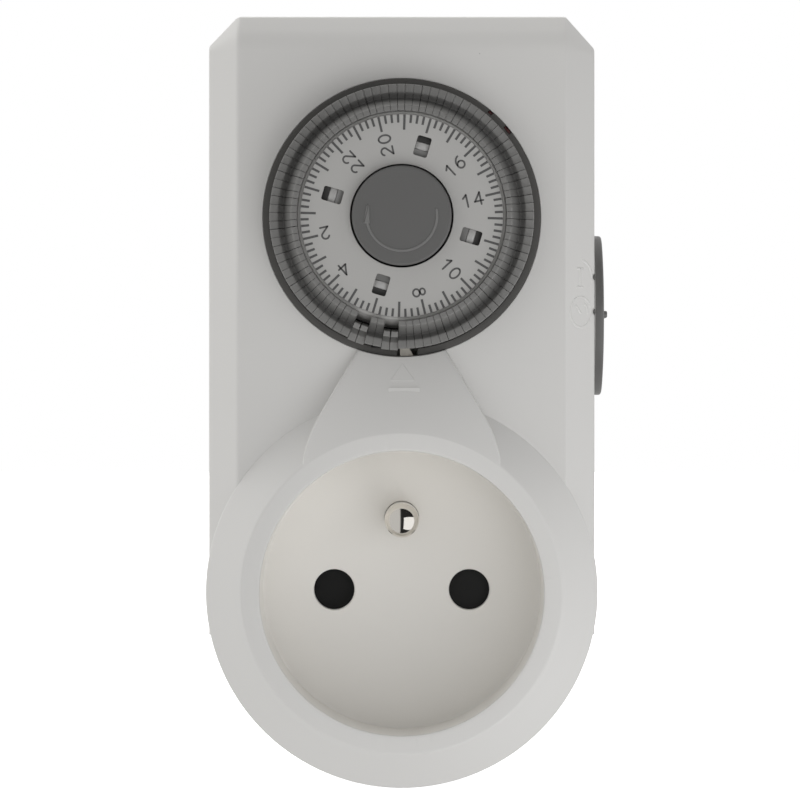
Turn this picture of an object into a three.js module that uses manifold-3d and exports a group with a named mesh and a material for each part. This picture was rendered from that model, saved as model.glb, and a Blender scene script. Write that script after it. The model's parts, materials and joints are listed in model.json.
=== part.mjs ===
// A plug-in mechanical timer switch: a 24 hour dial with 96 tappets above an earthed
// socket outlet, with the plug that carries it on its back. Lengths are millimetres.
//
// Pieces are drawn as the user sees them: x to the right, y up, z out of the wall.
// z = 0 is the end face of the plug, midway between its two pins. The last lines stand
// the whole up, so that +Z is up and the user looks along +Y.

import * as THREE from 'three';
import { mergeVertices } from 'three/addons/utils/BufferGeometryUtils.js';
import Module from 'manifold-3d';

const wasm = await Module();
wasm.setup();

// Clearances shared by all pieces
const runningGap = 0.3;
const seatGap = 0.1;
const overrun = 1;

// Housing
const bodyWidth = 53.8;
const dialHeight = 52;
const dialToTop = 28.3;
const bodyDepth = 24;
const rearDepth = 5;
const wall = 2;
const edgeBevel = 4.1;
const topRadius = 5;
const backBevel = 0.8;

// Plug boss on the back
const bossHeight = 17;
const bossRadius = 18.5;
const bossEdge = 1;
const bossFloor = 3;
const bossBore = 15.6;
const grooveDepth = 1.6;
const grooveWidth = 5.6;

// Socket tower on the front
const towerLip = 0.3;
const towerRise = 5;
const recessRadius = 19.6;
const recessDepth = 15;
const rimEdge = 0.4;
const rampLevels = { knee: 7.2, bend: 3.2, root: 3.4 };

// Plug and socket pattern
const pinSpacing = 19;
const pinRadius = 2.4;
const pinLength = 19;
const pinHead = { radius: 3.4, depth: 1.5, stub: 1.6 };
const socketHole = 2.8;
const earthOffset = 10;
const earthPinStand = 13.6;
const earthCollar = { radius: 3.6, depth: 1.8 };

// Dial
const dialProud = 4.4;
const openingRadius = 19.3;
const tappetCount = 96;
const tappetGap = 0.14;
const tappetTilt = 22;
const hourAngle = 73.4;
const tappet = {
  tabInner: 14.5,
  tabOuter: 15.35,
  tabRise: 2.8,
  trough: 16.45,
  troughDrop: 0.45,
  ledgeInner: 17.15,
  ledgeOuter: 18.2,
  footOuter: 18.1,
  footDrop: 1.65,
  hub: 0.75,
  pivotRadius: 16.4,
  pivotDrop: 1.1,
};
const movableTappets = 10;
const firstMovable = 42;
const pushedOut = [2, 3, 6, 7];
const grooveDrop = 2.25;

const drum = { rim: 17.1, wallRadius: 14.25, bore: 13.3, depth: 11.1, web: 2, hub: 5, hubRise: 5.7 };
const dialPlate = { radius: 14, bore: 7.3, thickness: 0.8, rise: 1.9 };
const plateWindow = { radius: 9.93, long: 2.7, wide: 1.84, corner: 0.4 };
const hook = { radial: 0.95, wide: 1.5, sink: 0.35 };
const knob = { radius: 7.08, rise: 3.2, edge: 0.4, crown: 0.1, skirt: 10, cap: 7.4 };
const bezel = { inner: 18.65, outer: 19.15, flange: 21, proud: 0.2, flangeDepth: 1.8 };
const bezelSlots = [{ angle: 49.7, width: 0.9 }, { angle: 39.5, width: 0.7 }];
const pointer = { offset: 0.5, topWidth: 1.35, footWidth: 1.7, inner: 18.2, notch: 3, foot: 4, proud: 0.1 };

// Clockwork and its plate
const axle = { radius: 2, bore: 2.3, clip: 4, clipDepth: 0.8, postWall: 2 };
const spindle = { radius: 0.9, bore: 1.2, postWall: 1.3 };
const gearModule = 0.6;
const meshPlay = 0.1;
const dialTeeth = 54;
const wheelTeeth = 36;
const pinionTeeth = 9;
const gearDepth = 2;
const tooth = { tip: 0.8, root: 1.05 };
const motorDirection = 170;
const motor = { radius: 9.6, depth: 5.6, bearing: 2, bearingDepth: 0.6, shaft: 0.7, ear: 3.4, earDepth: 1.2 };
const carrier = { depth: 1.2, left: 20.5, right: 22.5, cupGap: 0.7, above: 16.6, hole: 3.5 };
const topPosts = { x: 19.5, rise: 14 };
const lowPosts = { right: 20.5, rightRise: 7.7, left: -19, leftRise: 2.7 };
const postRadius = 2;
const carrierPin = 1;

// Switch
const lever = {
  cupGap: 2.4, behindFace: 5.4, bar: 1.7, pin: 0.9, bore: 1.2, left: -4.2, right: 17,
  noseWidth: 1.6, noseInner: 17.8, noseOuter: 18.4, noseRise: 7.2, armDepth: 1.8,
  tailLeft: 13.6, tailWidth: 2.8, tailHeight: 2.4, tailDrop: 9.2,
};
const ear = { thickness: 1, width: 2.9, above: 1.8 };
const contactGap = 0.9;
const contactRivet = { radius: 1, depth: 0.7 };
const stripThickness = 0.8;

// Selector on the right side
const selector = {
  below: 13.4, depth: 11, radius: 10.9, thickness: 1.25, dome: 0.35, edge: 0.5,
  rib: 0.5, ribWidth: 1, ribLength: 9.6, shaft: 2.6, reach: 15.5, cam: 3.7, camDepth: 2, camFlat: 2.7,
};
const indexNotch = { radius: 0.5, depth: 1, spacing: 4.5 };
const selectorSlot = { half: 6, left: 11.8 };

// Shutter behind the socket holes
const shutter = { halfWidth: 15.9, halfHeight: 3.6, depth: 2.1 };
const guide = { plate: 1.3, rail: 1.2, low: 11.8, high: 5.4, tongue: 4, stop: 20.4, stopDepth: 1.4 };
const coil = { radius: 0.85, wire: 0.3, turns: 6, steps: 6, sides: 4 };

// Spring contacts and straps
const socketContact = {
  baseHalf: 3.5, pinchHalf: 2.1, mouthHalf: 3, leaf: 0.6, width: 5,
  base: 10.8, knee: 14, pinchDrop: 5, mouthDrop: 1,
};
const earthSleeve = { inner: 2.5, outer: 3.1, flange: 3.9, depth: 12.8, flangeDepth: 0.8 };
const earthClip = { halfWidth: 2, thickness: 0.8, bulge: 0.4, start: 1, end: 13, inward: 4.2, slotGap: 0.3 };

// Screws
const screw = { shank: 1.25, head: 2.6, headDepth: 1.8, length: 13, slot: 0.6, slotDepth: 0.7 };
const screwColumn = 3.2;
const screwInset = { side: 6.9, top: 7.3, low: 10.6 };

// Facets of round forms
const roundFine = 48;
const roundMedium = 24;
const roundSmall = 12;

// Places that follow from the sizes
const sideX = bodyWidth / 2;
const bodyTop = dialHeight + dialToTop;
const towerRadius = sideX + towerLip;
const rimRadius = towerRadius - towerRise;
const backZ = bossHeight;
const splitZ = backZ + rearDepth;
const faceZ = backZ + bodyDepth;
const innerFaceZ = faceZ - wall;
const innerBackZ = backZ + wall;
const rimZ = faceZ + towerRise;
const recessZ = rimZ - recessDepth;
const floorBackZ = recessZ - wall;
const pinX = pinSpacing / 2;
const ledgeZ = faceZ + dialProud;
const tabZ = ledgeZ + tappet.tabRise;
const pivotZ = ledgeZ - tappet.pivotDrop;
const grooveZ = ledgeZ - grooveDrop;
const drumBackZ = grooveZ - drum.depth;
const plateZ = ledgeZ + dialPlate.rise - dialPlate.thickness;
const dialGearZ = drumBackZ - seatGap - gearDepth;
const carrierZ = dialGearZ - runningGap - runningGap - carrier.depth;
const wheelZ = carrierZ - runningGap - gearDepth;
const tappetPitch = 360 / tappetCount;
const dialPitchRadius = (gearModule * dialTeeth) / 2;
const pinionPitchRadius = (gearModule * pinionTeeth) / 2;
const wheelPitchRadius = (gearModule * wheelTeeth) / 2;
const idlerY = dialHeight - dialPitchRadius - pinionPitchRadius - meshPlay;
const motorReach = wheelPitchRadius + pinionPitchRadius + meshPlay;
const motorAngle = THREE.MathUtils.degToRad(motorDirection);
const motorX = motorReach * Math.cos(motorAngle);
const motorY = idlerY + motorReach * Math.sin(motorAngle);
const selectorZ = backZ + selector.depth;
const selectorY = dialHeight - selector.below;
const cupRadius = recessRadius + wall;
const leverY = cupRadius + lever.cupGap;
const leverZ = faceZ - lever.behindFace;
const carrierLow = cupRadius + carrier.cupGap;
const carrierHigh = dialHeight + carrier.above;
const carrierPosts = [
  [-topPosts.x, dialHeight + topPosts.rise],
  [topPosts.x, dialHeight + topPosts.rise],
  [lowPosts.right, carrierLow + lowPosts.rightRise],
  [lowPosts.left, carrierLow + lowPosts.leftRise],
];
const guideZ = floorBackZ - runningGap - shutter.depth - runningGap - guide.plate;

// Finishes
const finish = (color, roughness, metalness) =>
  new THREE.MeshStandardMaterial({ color, roughness, metalness, flatShading: true });
const paleShell = finish(0xd6d5d0, 0.45, 0);
const darkGrey = finish(0x5c5c5c, 0.5, 0);
const tappetGrey = finish(0x68686a, 0.5, 0);
const plateGrey = finish(0xa0a09d, 0.5, 0);
const cream = finish(0xcfc8a8, 0.5, 0);
const blackPlastic = finish(0x1c1c1c, 0.5, 0);
const natural = finish(0xe6e3d8, 0.5, 0);
const nickel = finish(0xc9c6be, 0.2, 1);
const brass = finish(0xc2a35a, 0.3, 1);
const copper = finish(0xb9764a, 0.3, 1);
const steel = finish(0xa8a9ab, 0.3, 1);

// Closed bodies and their joins and cuts
function closedBody(geometry) {
  const plain = geometry.clone();
  plain.deleteAttribute('normal');
  plain.deleteAttribute('uv');
  const merged = mergeVertices(plain);
  const index = merged.index.array;
  const kept = [];
  for (let i = 0; i < index.length; i += 3) {
    const [a, b, c] = [index[i], index[i + 1], index[i + 2]];
    if (a !== b && b !== c && c !== a) kept.push(a, b, c);
  }
  merged.setIndex(kept);
  return merged;
}

function solidOf(geometry) {
  const body = closedBody(geometry);
  const vertProperties = Float32Array.from(body.attributes.position.array);
  const triVerts = Uint32Array.from(body.index.array);
  return new wasm.Manifold(new wasm.Mesh({ numProp: 3, vertProperties, triVerts }));
}

function geometryOf(solid) {
  const mesh = solid.getMesh();
  const geometry = new THREE.BufferGeometry();
  geometry.setAttribute('position', new THREE.BufferAttribute(Float32Array.from(mesh.vertProperties), 3));
  geometry.setIndex(Array.from(mesh.triVerts));
  return geometry;
}

const join = (...parts) => geometryOf(parts.map(solidOf).reduce((whole, part) => whole.add(part)));
const common = (first, second) => geometryOf(solidOf(first).intersect(solidOf(second)));
const cut = (first, ...tools) =>
  geometryOf(tools.map(solidOf).reduce((whole, tool) => whole.subtract(tool), solidOf(first)));

// Basic forms, each placed where it is drawn
function slab(x0, x1, y0, y1, z0, z1) {
  const box = new THREE.BoxGeometry(x1 - x0, y1 - y0, z1 - z0);
  return box.translate((x0 + x1) / 2, (y0 + y1) / 2, (z0 + z1) / 2);
}

function rod(radius, z0, z1, x = 0, y = 0, sides = roundSmall) {
  const cylinder = new THREE.CylinderGeometry(radius, radius, z1 - z0, sides);
  return cylinder.rotateX(Math.PI / 2).translate(x, y, (z0 + z1) / 2);
}

function crossRod(radius, x0, x1, y, z, sides = roundSmall) {
  const cylinder = new THREE.CylinderGeometry(radius, radius, x1 - x0, sides);
  return cylinder.rotateZ(Math.PI / 2).translate((x0 + x1) / 2, y, z);
}

function revolve(profile, sides = roundMedium) {
  const points = profile.map(([radius, z]) => new THREE.Vector2(radius, z));
  return new THREE.LatheGeometry(points, sides).rotateX(Math.PI / 2);
}

function revolveRing(profile, sides = roundMedium) {
  return revolve([...profile, profile[0]], sides);
}

function outlineOf(points) {
  return new THREE.Shape(points.map(([x, y]) => new THREE.Vector2(x, y)));
}

function plate(shape, z0, z1, curveSegments = roundSmall) {
  const options = { depth: z1 - z0, bevelEnabled: false, curveSegments };
  return new THREE.ExtrudeGeometry(shape, options).translate(0, 0, z0);
}

// Turns a body drawn out along z so that its shape lies in y and z and it runs along x
const acrossX = new THREE.Matrix4().makeBasis(
  new THREE.Vector3(0, 1, 0),
  new THREE.Vector3(0, 0, 1),
  new THREE.Vector3(1, 0, 0),
);

function sideways(shape, x0, x1) {
  return plate(shape, x0, x1).applyMatrix4(acrossX);
}

function alongY(radius, y0, y1, x, z, sides = 12) {
  return new THREE.CylinderGeometry(radius, radius, y1 - y0, sides).translate(x, (y0 + y1) / 2, z);
}

function turnedAboutZ(geometry, degrees) {
  return geometry.rotateZ(THREE.MathUtils.degToRad(degrees));
}

// Housing body: its side profile drawn across the width, with all its edges bevelled
function bevelledBody(inset, bevel) {
  const top = bodyTop - inset;
  const front = faceZ - inset;
  const low = -bevel;
  const back = backZ - bevel - overrun;
  const radius = topRadius - inset;
  const shape = new THREE.Shape();
  shape.moveTo(low, back);
  shape.lineTo(top, back);
  shape.lineTo(top, front - radius);
  shape.absarc(top - radius, front - radius, radius, 0, Math.PI / 2, false);
  shape.lineTo(low, front);
  const width = bodyWidth - 2 * inset;
  const options = {
    depth: width - 2 * bevel,
    bevelThickness: bevel,
    bevelSize: bevel,
    bevelOffset: -bevel,
    bevelSegments: 1,
    curveSegments: 6,
  };
  return new THREE.ExtrudeGeometry(shape, options)
    .translate(0, 0, bevel - width / 2)
    .applyMatrix4(acrossX);
}

// Front view of the housing: clipped top corners, straight sides, round foot
function housingShape(inset) {
  const half = bodyWidth / 2 - inset;
  const radius = towerRadius - inset;
  const top = bodyTop - inset;
  const clip = edgeBevel - inset * (2 - Math.SQRT2);
  const start = Math.acos(half / radius);
  const shape = new THREE.Shape();
  shape.moveTo(-half, top - clip);
  shape.lineTo(-half, radius * Math.sin(start));
  shape.absarc(0, 0, radius, Math.PI - start, 2 * Math.PI + start, false);
  shape.lineTo(half, top - clip);
  shape.lineTo(half - clip, top);
  shape.lineTo(clip - half, top);
  return shape;
}

const topScrew = [sideX - screwInset.side, bodyTop - screwInset.top];
const lowScrew = sideX - screwInset.low;
const everyScrew = [1, -1].flatMap((side) => [
  [side * topScrew[0], topScrew[1]],
  [side * lowScrew, -lowScrew],
]);

// Ramp from the dial down to the socket rim: part of a shallow cone round the socket
function fairing() {
  const half = { top: 6.1, knee: 11.4, foot: 13.8 };
  const low = Math.sqrt(rimRadius * rimRadius - half.foot * half.foot);
  const level = {
    top: dialHeight - openingRadius + overrun,
    knee: low + rampLevels.knee,
    bend: low + rampLevels.bend,
    foot: low,
    low: low - rampLevels.root,
  };
  const shape = new THREE.Shape();
  shape.moveTo(half.top, level.top);
  shape.lineTo(half.knee, level.knee);
  shape.quadraticCurveTo(half.foot, level.bend, half.foot, level.foot);
  shape.lineTo(half.foot, level.low);
  shape.lineTo(-half.foot, level.low);
  shape.lineTo(-half.foot, level.foot);
  shape.quadraticCurveTo(-half.foot, level.bend, -half.knee, level.knee);
  shape.lineTo(-half.top, level.top);
  const column = plate(shape, innerFaceZ + seatGap, rimZ + overrun, 5);
  const rampStart = 0.8;
  const cone = revolve([
    [0, innerFaceZ],
    [level.top, innerFaceZ],
    [level.top, faceZ + rampStart],
    [rimRadius, rimZ],
    [0, rimZ],
  ], roundFine);
  return common(column, cone);
}

function frontShell() {
  const slope = wall * (Math.SQRT2 - 1);
  const tower = revolve([
    [0, splitZ],
    [towerRadius, splitZ],
    [towerRadius, faceZ],
    [rimRadius, rimZ],
    [0, rimZ],
  ], roundFine);
  const towerHollow = revolve([
    [0, backZ],
    [towerRadius - wall, backZ],
    [towerRadius - wall, faceZ - slope],
    [rimRadius - slope, rimZ - wall],
    [0, rimZ - wall],
  ]);
  const cup = revolve([
    [0, floorBackZ],
    [cupRadius, floorBackZ],
    [cupRadius, rimZ - seatGap],
    [0, rimZ - seatGap],
  ]);
  const recess = revolve([
    [0, recessZ],
    [recessRadius, recessZ],
    [recessRadius, rimZ - rimEdge],
    [recessRadius + rimEdge, rimZ],
    [recessRadius + rimEdge, rimZ + overrun],
    [0, rimZ + overrun],
  ], roundFine);
  const [halfLow, halfTop] = [splitZ + seatGap, rimZ + overrun];
  const frontHalf = slab(-bodyWidth, bodyWidth, -bodyWidth, bodyTop + overrun, halfLow, halfTop);
  const outside = common(join(bevelledBody(0, edgeBevel), tower), frontHalf);
  const hollow = bevelledBody(wall, edgeBevel - wall * (2 - Math.SQRT2));
  const columns = everyScrew.map(([x, y]) => rod(screwColumn, halfLow, innerFaceZ + seatGap, x, y));
  const ramp = fairing();
  const filled = join(cut(outside, hollow, towerHollow), cup, ramp, ...columns);
  const housing = common(filled, join(outside, ramp));
  const shaftBore = selector.shaft + runningGap;
  const boreTop = backZ + screw.length + overrun;
  const bores = everyScrew.map(([x, y]) => rod(screw.shank + seatGap, backZ, boreTop, x, y));
  const notches = [0, indexNotch.spacing].map((rise) =>
    rod(indexNotch.radius, faceZ - edgeBevel - indexNotch.depth, faceZ, sideX, selectorY + rise));
  return cut(
    housing,
    recess,
    rod(openingRadius, innerBackZ, rimZ + overrun, 0, dialHeight, roundFine),
    rod(socketHole, floorBackZ - overrun, recessZ + overrun, -pinX, 0, roundMedium),
    rod(socketHole, floorBackZ - overrun, recessZ + overrun, pinX, 0, roundMedium),
    rod(pinRadius + seatGap, floorBackZ - overrun, recessZ + overrun, 0, earthOffset),
    crossRod(shaftBore, sideX - wall - overrun, sideX + overrun, selectorY, selectorZ),
    ...bores,
    ...notches,
  );
}

function rearShell() {
  const bevelled = {
    depth: bodyDepth,
    bevelThickness: backBevel,
    bevelSize: backBevel,
    bevelOffset: -backBevel,
    bevelSegments: 1,
    curveSegments: roundMedium,
  };
  const block = new THREE.ExtrudeGeometry(housingShape(0), bevelled).translate(0, 0, backZ + backBevel);
  const span = slab(-bodyWidth, bodyWidth, -bodyWidth, bodyTop + overrun, backZ, splitZ);
  const tray = cut(common(block, span), plate(housingShape(wall), innerBackZ, splitZ + overrun, roundMedium));
  const boss = revolve([
    [0, 0],
    [bossRadius - bossEdge, 0],
    [bossRadius, bossEdge],
    [bossRadius, innerBackZ],
    [0, innerBackZ],
  ]);
  const screwSeats = everyScrew.map(([x, y]) => rod(screwColumn, backZ + seatGap, splitZ, x, y));
  const posts = carrierPosts.map(([x, y]) => rod(postRadius, backZ + seatGap, carrierZ, x, y));
  const postLow = backZ + seatGap;
  const postTop = wheelZ - runningGap;
  const axlePost = rod(axle.radius + axle.postWall, postLow, postTop - overrun, 0, dialHeight);
  const spindlePost = rod(spindle.radius + spindle.postWall, postLow, postTop, 0, idlerY);
  const grooves = [1, -1].map((side) => {
    const inner = side * (bossRadius - grooveDepth);
    const outer = side * (bossRadius + overrun);
    const [low, high] = [Math.min(inner, outer), Math.max(inner, outer)];
    return slab(low, high, -grooveWidth / 2, grooveWidth / 2, -overrun, backZ);
  });
  const clipSlots = [1, -1].flatMap((side) => {
    const width = earthClip.halfWidth + earthClip.slotGap;
    const floor = bossRadius - earthClip.thickness - earthClip.slotGap;
    const ends = [side * floor, side * (bossRadius + overrun)].sort((a, b) => a - b);
    const mouth = [side * (bossBore - overrun), side * (bossRadius + overrun)].sort((a, b) => a - b);
    const slotTop = earthClip.end + earthClip.slotGap;
    const slotLow = earthClip.end - earthClip.thickness - earthClip.slotGap;
    return [
      slab(-width, width, ends[0], ends[1], -overrun, slotTop),
      slab(-width, width, mouth[0], mouth[1], slotLow, slotTop),
    ];
  });
  const bores = everyScrew.flatMap(([x, y]) => [
    rod(screw.shank + runningGap, backZ - overrun, splitZ + overrun, x, y),
    rod(screw.head + runningGap, backZ - overrun, backZ + screw.headDepth + seatGap, x, y),
  ]);
  const contactRib = slab(
    pinX - socketContact.width / 2, pinX + socketContact.width / 2,
    -loadRib.low, -loadRib.high,
    bossFloor - seatGap, loadStripZ - seatGap,
  );
  const emptyBoss = cut(
    join(tray, boss, ...screwSeats, ...posts, axlePost, spindlePost),
    rod(bossBore, bossFloor, innerBackZ + overrun, 0, 0, roundMedium),
  );
  return cut(
    join(emptyBoss, contactRib),
    rod(pinRadius + seatGap, -overrun, bossFloor + overrun, -pinX, 0),
    rod(pinRadius + seatGap, -overrun, bossFloor + overrun, pinX, 0),
    rod(earthSleeve.outer + seatGap, -overrun, bossFloor + overrun, 0, earthOffset),
    rod(axle.radius + seatGap, innerBackZ, carrierZ, 0, dialHeight),
    rod(spindle.radius + seatGap, innerBackZ, carrierZ, 0, idlerY),
    ...carrierPosts.map(([x, y]) => rod(carrierPin, innerBackZ + wall, carrierZ + overrun, x, y)),
    ...grooves,
    ...clipSlots,
    ...bores,
  );
}

function rearScrew(x, y) {
  const top = backZ + screw.headDepth;
  const body = revolve([
    [0, backZ],
    [screw.head, backZ],
    [screw.head, top],
    [screw.shank, top],
    [screw.shank, backZ + screw.length - screw.shank],
    [0, backZ + screw.length],
  ], roundSmall);
  const [slotLow, slotTop] = [backZ - overrun, backZ + screw.slotDepth];
  const slot = slab(-screw.head, screw.head, -screw.slot / 2, screw.slot / 2, slotLow, slotTop);
  return cut(body, slot).translate(x, y, 0);
}

// Plug pins, earth parts, spring contacts and straps
function plugPin(x, stubTop) {
  const dome = [];
  const steps = 4;
  for (let i = 0; i <= steps; i += 1) {
    const angle = (i / steps) * (Math.PI / 2);
    dome.push([pinRadius * Math.sin(angle), pinRadius - pinLength - pinRadius * Math.cos(angle)]);
  }
  const headZ = bossFloor + seatGap;
  return revolve([
    ...dome,
    [pinRadius, headZ],
    [pinHead.radius, headZ],
    [pinHead.radius, headZ + pinHead.depth],
    [pinHead.stub, headZ + pinHead.depth],
    [pinHead.stub, stubTop],
    [0, stubTop],
  ], roundSmall).translate(x, 0, 0);
}

function socketEarthPin() {
  const tip = recessZ + earthPinStand;
  const dome = [];
  const steps = 5;
  for (let i = 0; i <= steps; i += 1) {
    const angle = (i / steps) * (Math.PI / 2);
    dome.push([pinRadius * Math.cos(angle), tip - pinRadius + pinRadius * Math.sin(angle)]);
  }
  const collarTop = floorBackZ - seatGap;
  return revolve([
    [0, earthStrapZ() + stripThickness + seatGap],
    [pinHead.stub, earthStrapZ() + stripThickness + seatGap],
    [pinHead.stub, collarTop - earthCollar.depth],
    [earthCollar.radius, collarTop - earthCollar.depth],
    [earthCollar.radius, collarTop],
    [pinRadius, collarTop],
    ...dome,
  ], 16).translate(0, earthOffset, 0);
}

function earthStrapZ() {
  return earthClip.end + earthClip.slotGap;
}

function earthSleeveTube() {
  const top = earthSleeve.depth;
  return revolveRing([
    [earthSleeve.inner, seatGap],
    [earthSleeve.outer, seatGap],
    [earthSleeve.outer, bossFloor + seatGap],
    [earthSleeve.flange, bossFloor + seatGap],
    [earthSleeve.flange, bossFloor + seatGap + earthSleeve.flangeDepth],
    [earthSleeve.outer, bossFloor + seatGap + earthSleeve.flangeDepth],
    [earthSleeve.outer, top],
    [earthSleeve.inner, top],
  ], roundSmall).translate(0, earthOffset, 0);
}

function earthSideClip(side) {
  const middle = (earthClip.start + earthClip.end) / 2;
  const lie = bossRadius - earthClip.thickness;
  const shape = outlineOf([
    [lie, earthClip.start],
    [lie + earthClip.thickness, earthClip.start],
    [lie + earthClip.thickness + earthClip.bulge, middle],
    [lie + earthClip.thickness, earthClip.end],
    [lie - earthClip.inward, earthClip.end],
    [lie - earthClip.inward, earthClip.end - earthClip.thickness],
    [lie, earthClip.end - earthClip.thickness],
    [lie + earthClip.bulge, middle],
  ]);
  const clip = sideways(shape, -earthClip.halfWidth, earthClip.halfWidth);
  return side > 0 ? clip : clip.rotateZ(Math.PI);
}

function earthStrap() {
  const reach = bossBore - runningGap;
  const z = earthStrapZ();
  return slab(-earthClip.halfWidth, earthClip.halfWidth, -reach, reach, z, z + stripThickness);
}

function springContact(x) {
  const c = socketContact;
  const pinchZ = guideZ - c.pinchDrop;
  const mouthZ = guideZ - c.mouthDrop;
  const shape = outlineOf([
    [-c.baseHalf, c.base],
    [c.baseHalf, c.base],
    [c.baseHalf, c.knee],
    [c.pinchHalf + c.leaf, pinchZ],
    [c.mouthHalf + c.leaf, mouthZ],
    [c.mouthHalf, mouthZ],
    [c.pinchHalf, pinchZ],
    [c.baseHalf - c.leaf, c.knee],
    [c.baseHalf - c.leaf, c.base + c.leaf],
    [c.leaf - c.baseHalf, c.base + c.leaf],
    [c.leaf - c.baseHalf, c.knee],
    [-c.pinchHalf, pinchZ],
    [-c.mouthHalf, mouthZ],
    [-c.mouthHalf - c.leaf, mouthZ],
    [-c.pinchHalf - c.leaf, pinchZ],
    [-c.baseHalf, c.knee],
  ]);
  return sideways(shape, x - c.width / 2, x + c.width / 2);
}

const strip = { left: 6.5, width: 4, riser: 10, level: innerBackZ + runningGap };
const loadStripZ = socketContact.base - seatGap - stripThickness;
const loadRib = { low: 5.4, high: 3.8 };
const fixedContactY = leverY - lever.tailHeight / 2 - contactRivet.depth - contactGap;
const rivetZ = leverZ - lever.tailDrop + contactRivet.radius;

// From the live plug pin up through the boss and across to the fixed contact
function liveStrip() {
  const low = bossFloor + seatGap + pinHead.depth + seatGap;
  const right = strip.left + strip.width;
  const bladeLeft = lever.tailLeft;
  const bladeRight = lever.tailLeft + lever.tailWidth;
  const bladeMiddle = (bladeLeft + bladeRight) / 2;
  const bladeTop = fixedContactY - contactRivet.depth;
  const riserLow = strip.riser - stripThickness;
  const [back, front] = [strip.level, strip.level + stripThickness];
  return join(
    slab(strip.left, right, -strip.width / 2, strip.riser, low, low + stripThickness),
    slab(strip.left, right, riserLow, strip.riser, low, front),
    slab(strip.left, right, riserLow, bladeTop, back, front),
    slab(strip.left, bladeRight, bladeTop - strip.width, bladeTop, back, front),
    slab(bladeLeft, bladeRight, bladeTop - stripThickness, bladeTop, back, rivetZ + contactRivet.radius),
    alongY(contactRivet.radius, bladeTop - stripThickness / 2, fixedContactY, bladeMiddle, rivetZ),
  );
}

// Foot of the live spring contact: it rests on a rib of the boss
function loadStrip() {
  const c = socketContact;
  const [left, right] = [pinX - c.width / 2, pinX + c.width / 2];
  return slab(left, right, -loadRib.low, c.baseHalf, loadStripZ, loadStripZ + stripThickness);
}

// Shutter, its guide and its spring
function shutterPlate() {
  const z = floorBackZ - runningGap;
  const { halfWidth, halfHeight, depth } = shutter;
  const body = slab(-halfWidth, halfWidth, -halfHeight, halfHeight, z - depth, z);
  const relief = slab(
    -halfWidth / 3, halfWidth / 3,
    -halfHeight - overrun, -halfHeight / 3,
    z - depth / 2, z + overrun,
  );
  return cut(body, relief);
}

function shutterGuide() {
  const edge = shutter.halfWidth + runningGap;
  const outer = edge + guide.rail;
  const railTop = floorBackZ - seatGap;
  const plateTop = guideZ + guide.plate;
  return cut(
    join(
      slab(-outer, outer, -guide.low, guide.high, guideZ, plateTop),
      slab(-outer, -edge, -guide.low, guide.high, guideZ, railTop),
      slab(edge, outer, -guide.low, guide.high, guideZ, railTop),
      slab(-guide.tongue, guide.tongue, -guide.stop, guide.high, guideZ, plateTop),
      slab(-guide.tongue, guide.tongue, -guide.stop, guide.stopDepth - guide.stop, guideZ, railTop),
    ),
    rod(socketHole + runningGap, guideZ - overrun, plateTop + overrun, -pinX, 0),
    rod(socketHole + runningGap, guideZ - overrun, plateTop + overrun, pinX, 0),
  );
}

// A wire wound at an even pitch along y, in the plane of the shutter
function shutterSpring() {
  const start = guide.stopDepth - guide.stop + coil.wire + seatGap;
  const end = -shutter.halfHeight - coil.wire - seatGap;
  const z = floorBackZ - runningGap - shutter.depth / 2;
  const wire = outlineOf(Array.from({ length: coil.sides }, (_, i) => {
    const angle = (i / coil.sides) * 2 * Math.PI;
    return [coil.wire * Math.cos(angle), coil.wire * Math.sin(angle)];
  }));
  const points = [];
  const steps = coil.turns * coil.steps;
  for (let i = 0; i <= steps; i += 1) {
    const angle = (i / coil.steps) * 2 * Math.PI;
    const y = start + (end - start) * (i / steps);
    points.push(new THREE.Vector3(coil.radius * Math.cos(angle), y, z + coil.radius * Math.sin(angle)));
  }
  const extrudePath = new THREE.CatmullRomCurve3(points);
  return new THREE.ExtrudeGeometry(wire, { steps, extrudePath, bevelEnabled: false });
}

// Tappets: rockers with a tall inner tab, a trough and an outer ledge
function tappetHalfWidth(radius) {
  return radius * Math.tan(THREE.MathUtils.degToRad(tappetPitch / 2)) - tappetGap / 2;
}

function tappetCrown() {
  const t = tappet;
  return [
    [t.footOuter, ledgeZ - t.footDrop],
    [t.ledgeOuter, ledgeZ],
    [t.ledgeInner, ledgeZ],
    [t.trough, ledgeZ - t.troughDrop],
    [t.tabOuter, tabZ],
    [t.tabInner, tabZ],
  ];
}

// The section runs out along the radius, and its width grows with the radius
function tappetBody(section, count = 1) {
  const turned = new THREE.Matrix4().makeBasis(
    new THREE.Vector3(1, 0, 0),
    new THREE.Vector3(0, 0, 1),
    new THREE.Vector3(0, -1, 0),
  );
  const body = plate(outlineOf(section), -count / 2, count / 2).applyMatrix4(turned);
  const place = body.attributes.position;
  for (let i = 0; i < place.count; i += 1) {
    place.setY(i, Math.sign(place.getY(i)) * tappetHalfWidth(place.getX(i)));
  }
  return body;
}

function movingTappet() {
  const hub = [];
  const steps = 4;
  for (let i = 0; i <= steps; i += 1) {
    const angle = Math.PI + (0.1 + 0.6 * (i / steps)) * Math.PI;
    hub.push([tappet.pivotRadius + tappet.hub * Math.cos(angle), pivotZ + tappet.hub * Math.sin(angle)]);
  }
  return tappetBody([...tappetCrown(), ...hub]).translate(-tappet.pivotRadius, 0, -pivotZ);
}

function fixedTappet(angle) {
  const seat = [
    [tappet.tabOuter, grooveZ - seatGap],
    [drum.rim - seatGap, grooveZ - seatGap],
  ];
  return turnedAboutZ(tappetBody([...tappetCrown(), ...seat]), angle);
}

const tappetAngle = (index) => hourAngle - tappetPitch * (index + 1 / 2);
const isMovable = (index) => index >= firstMovable && index < firstMovable + movableTappets;

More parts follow.
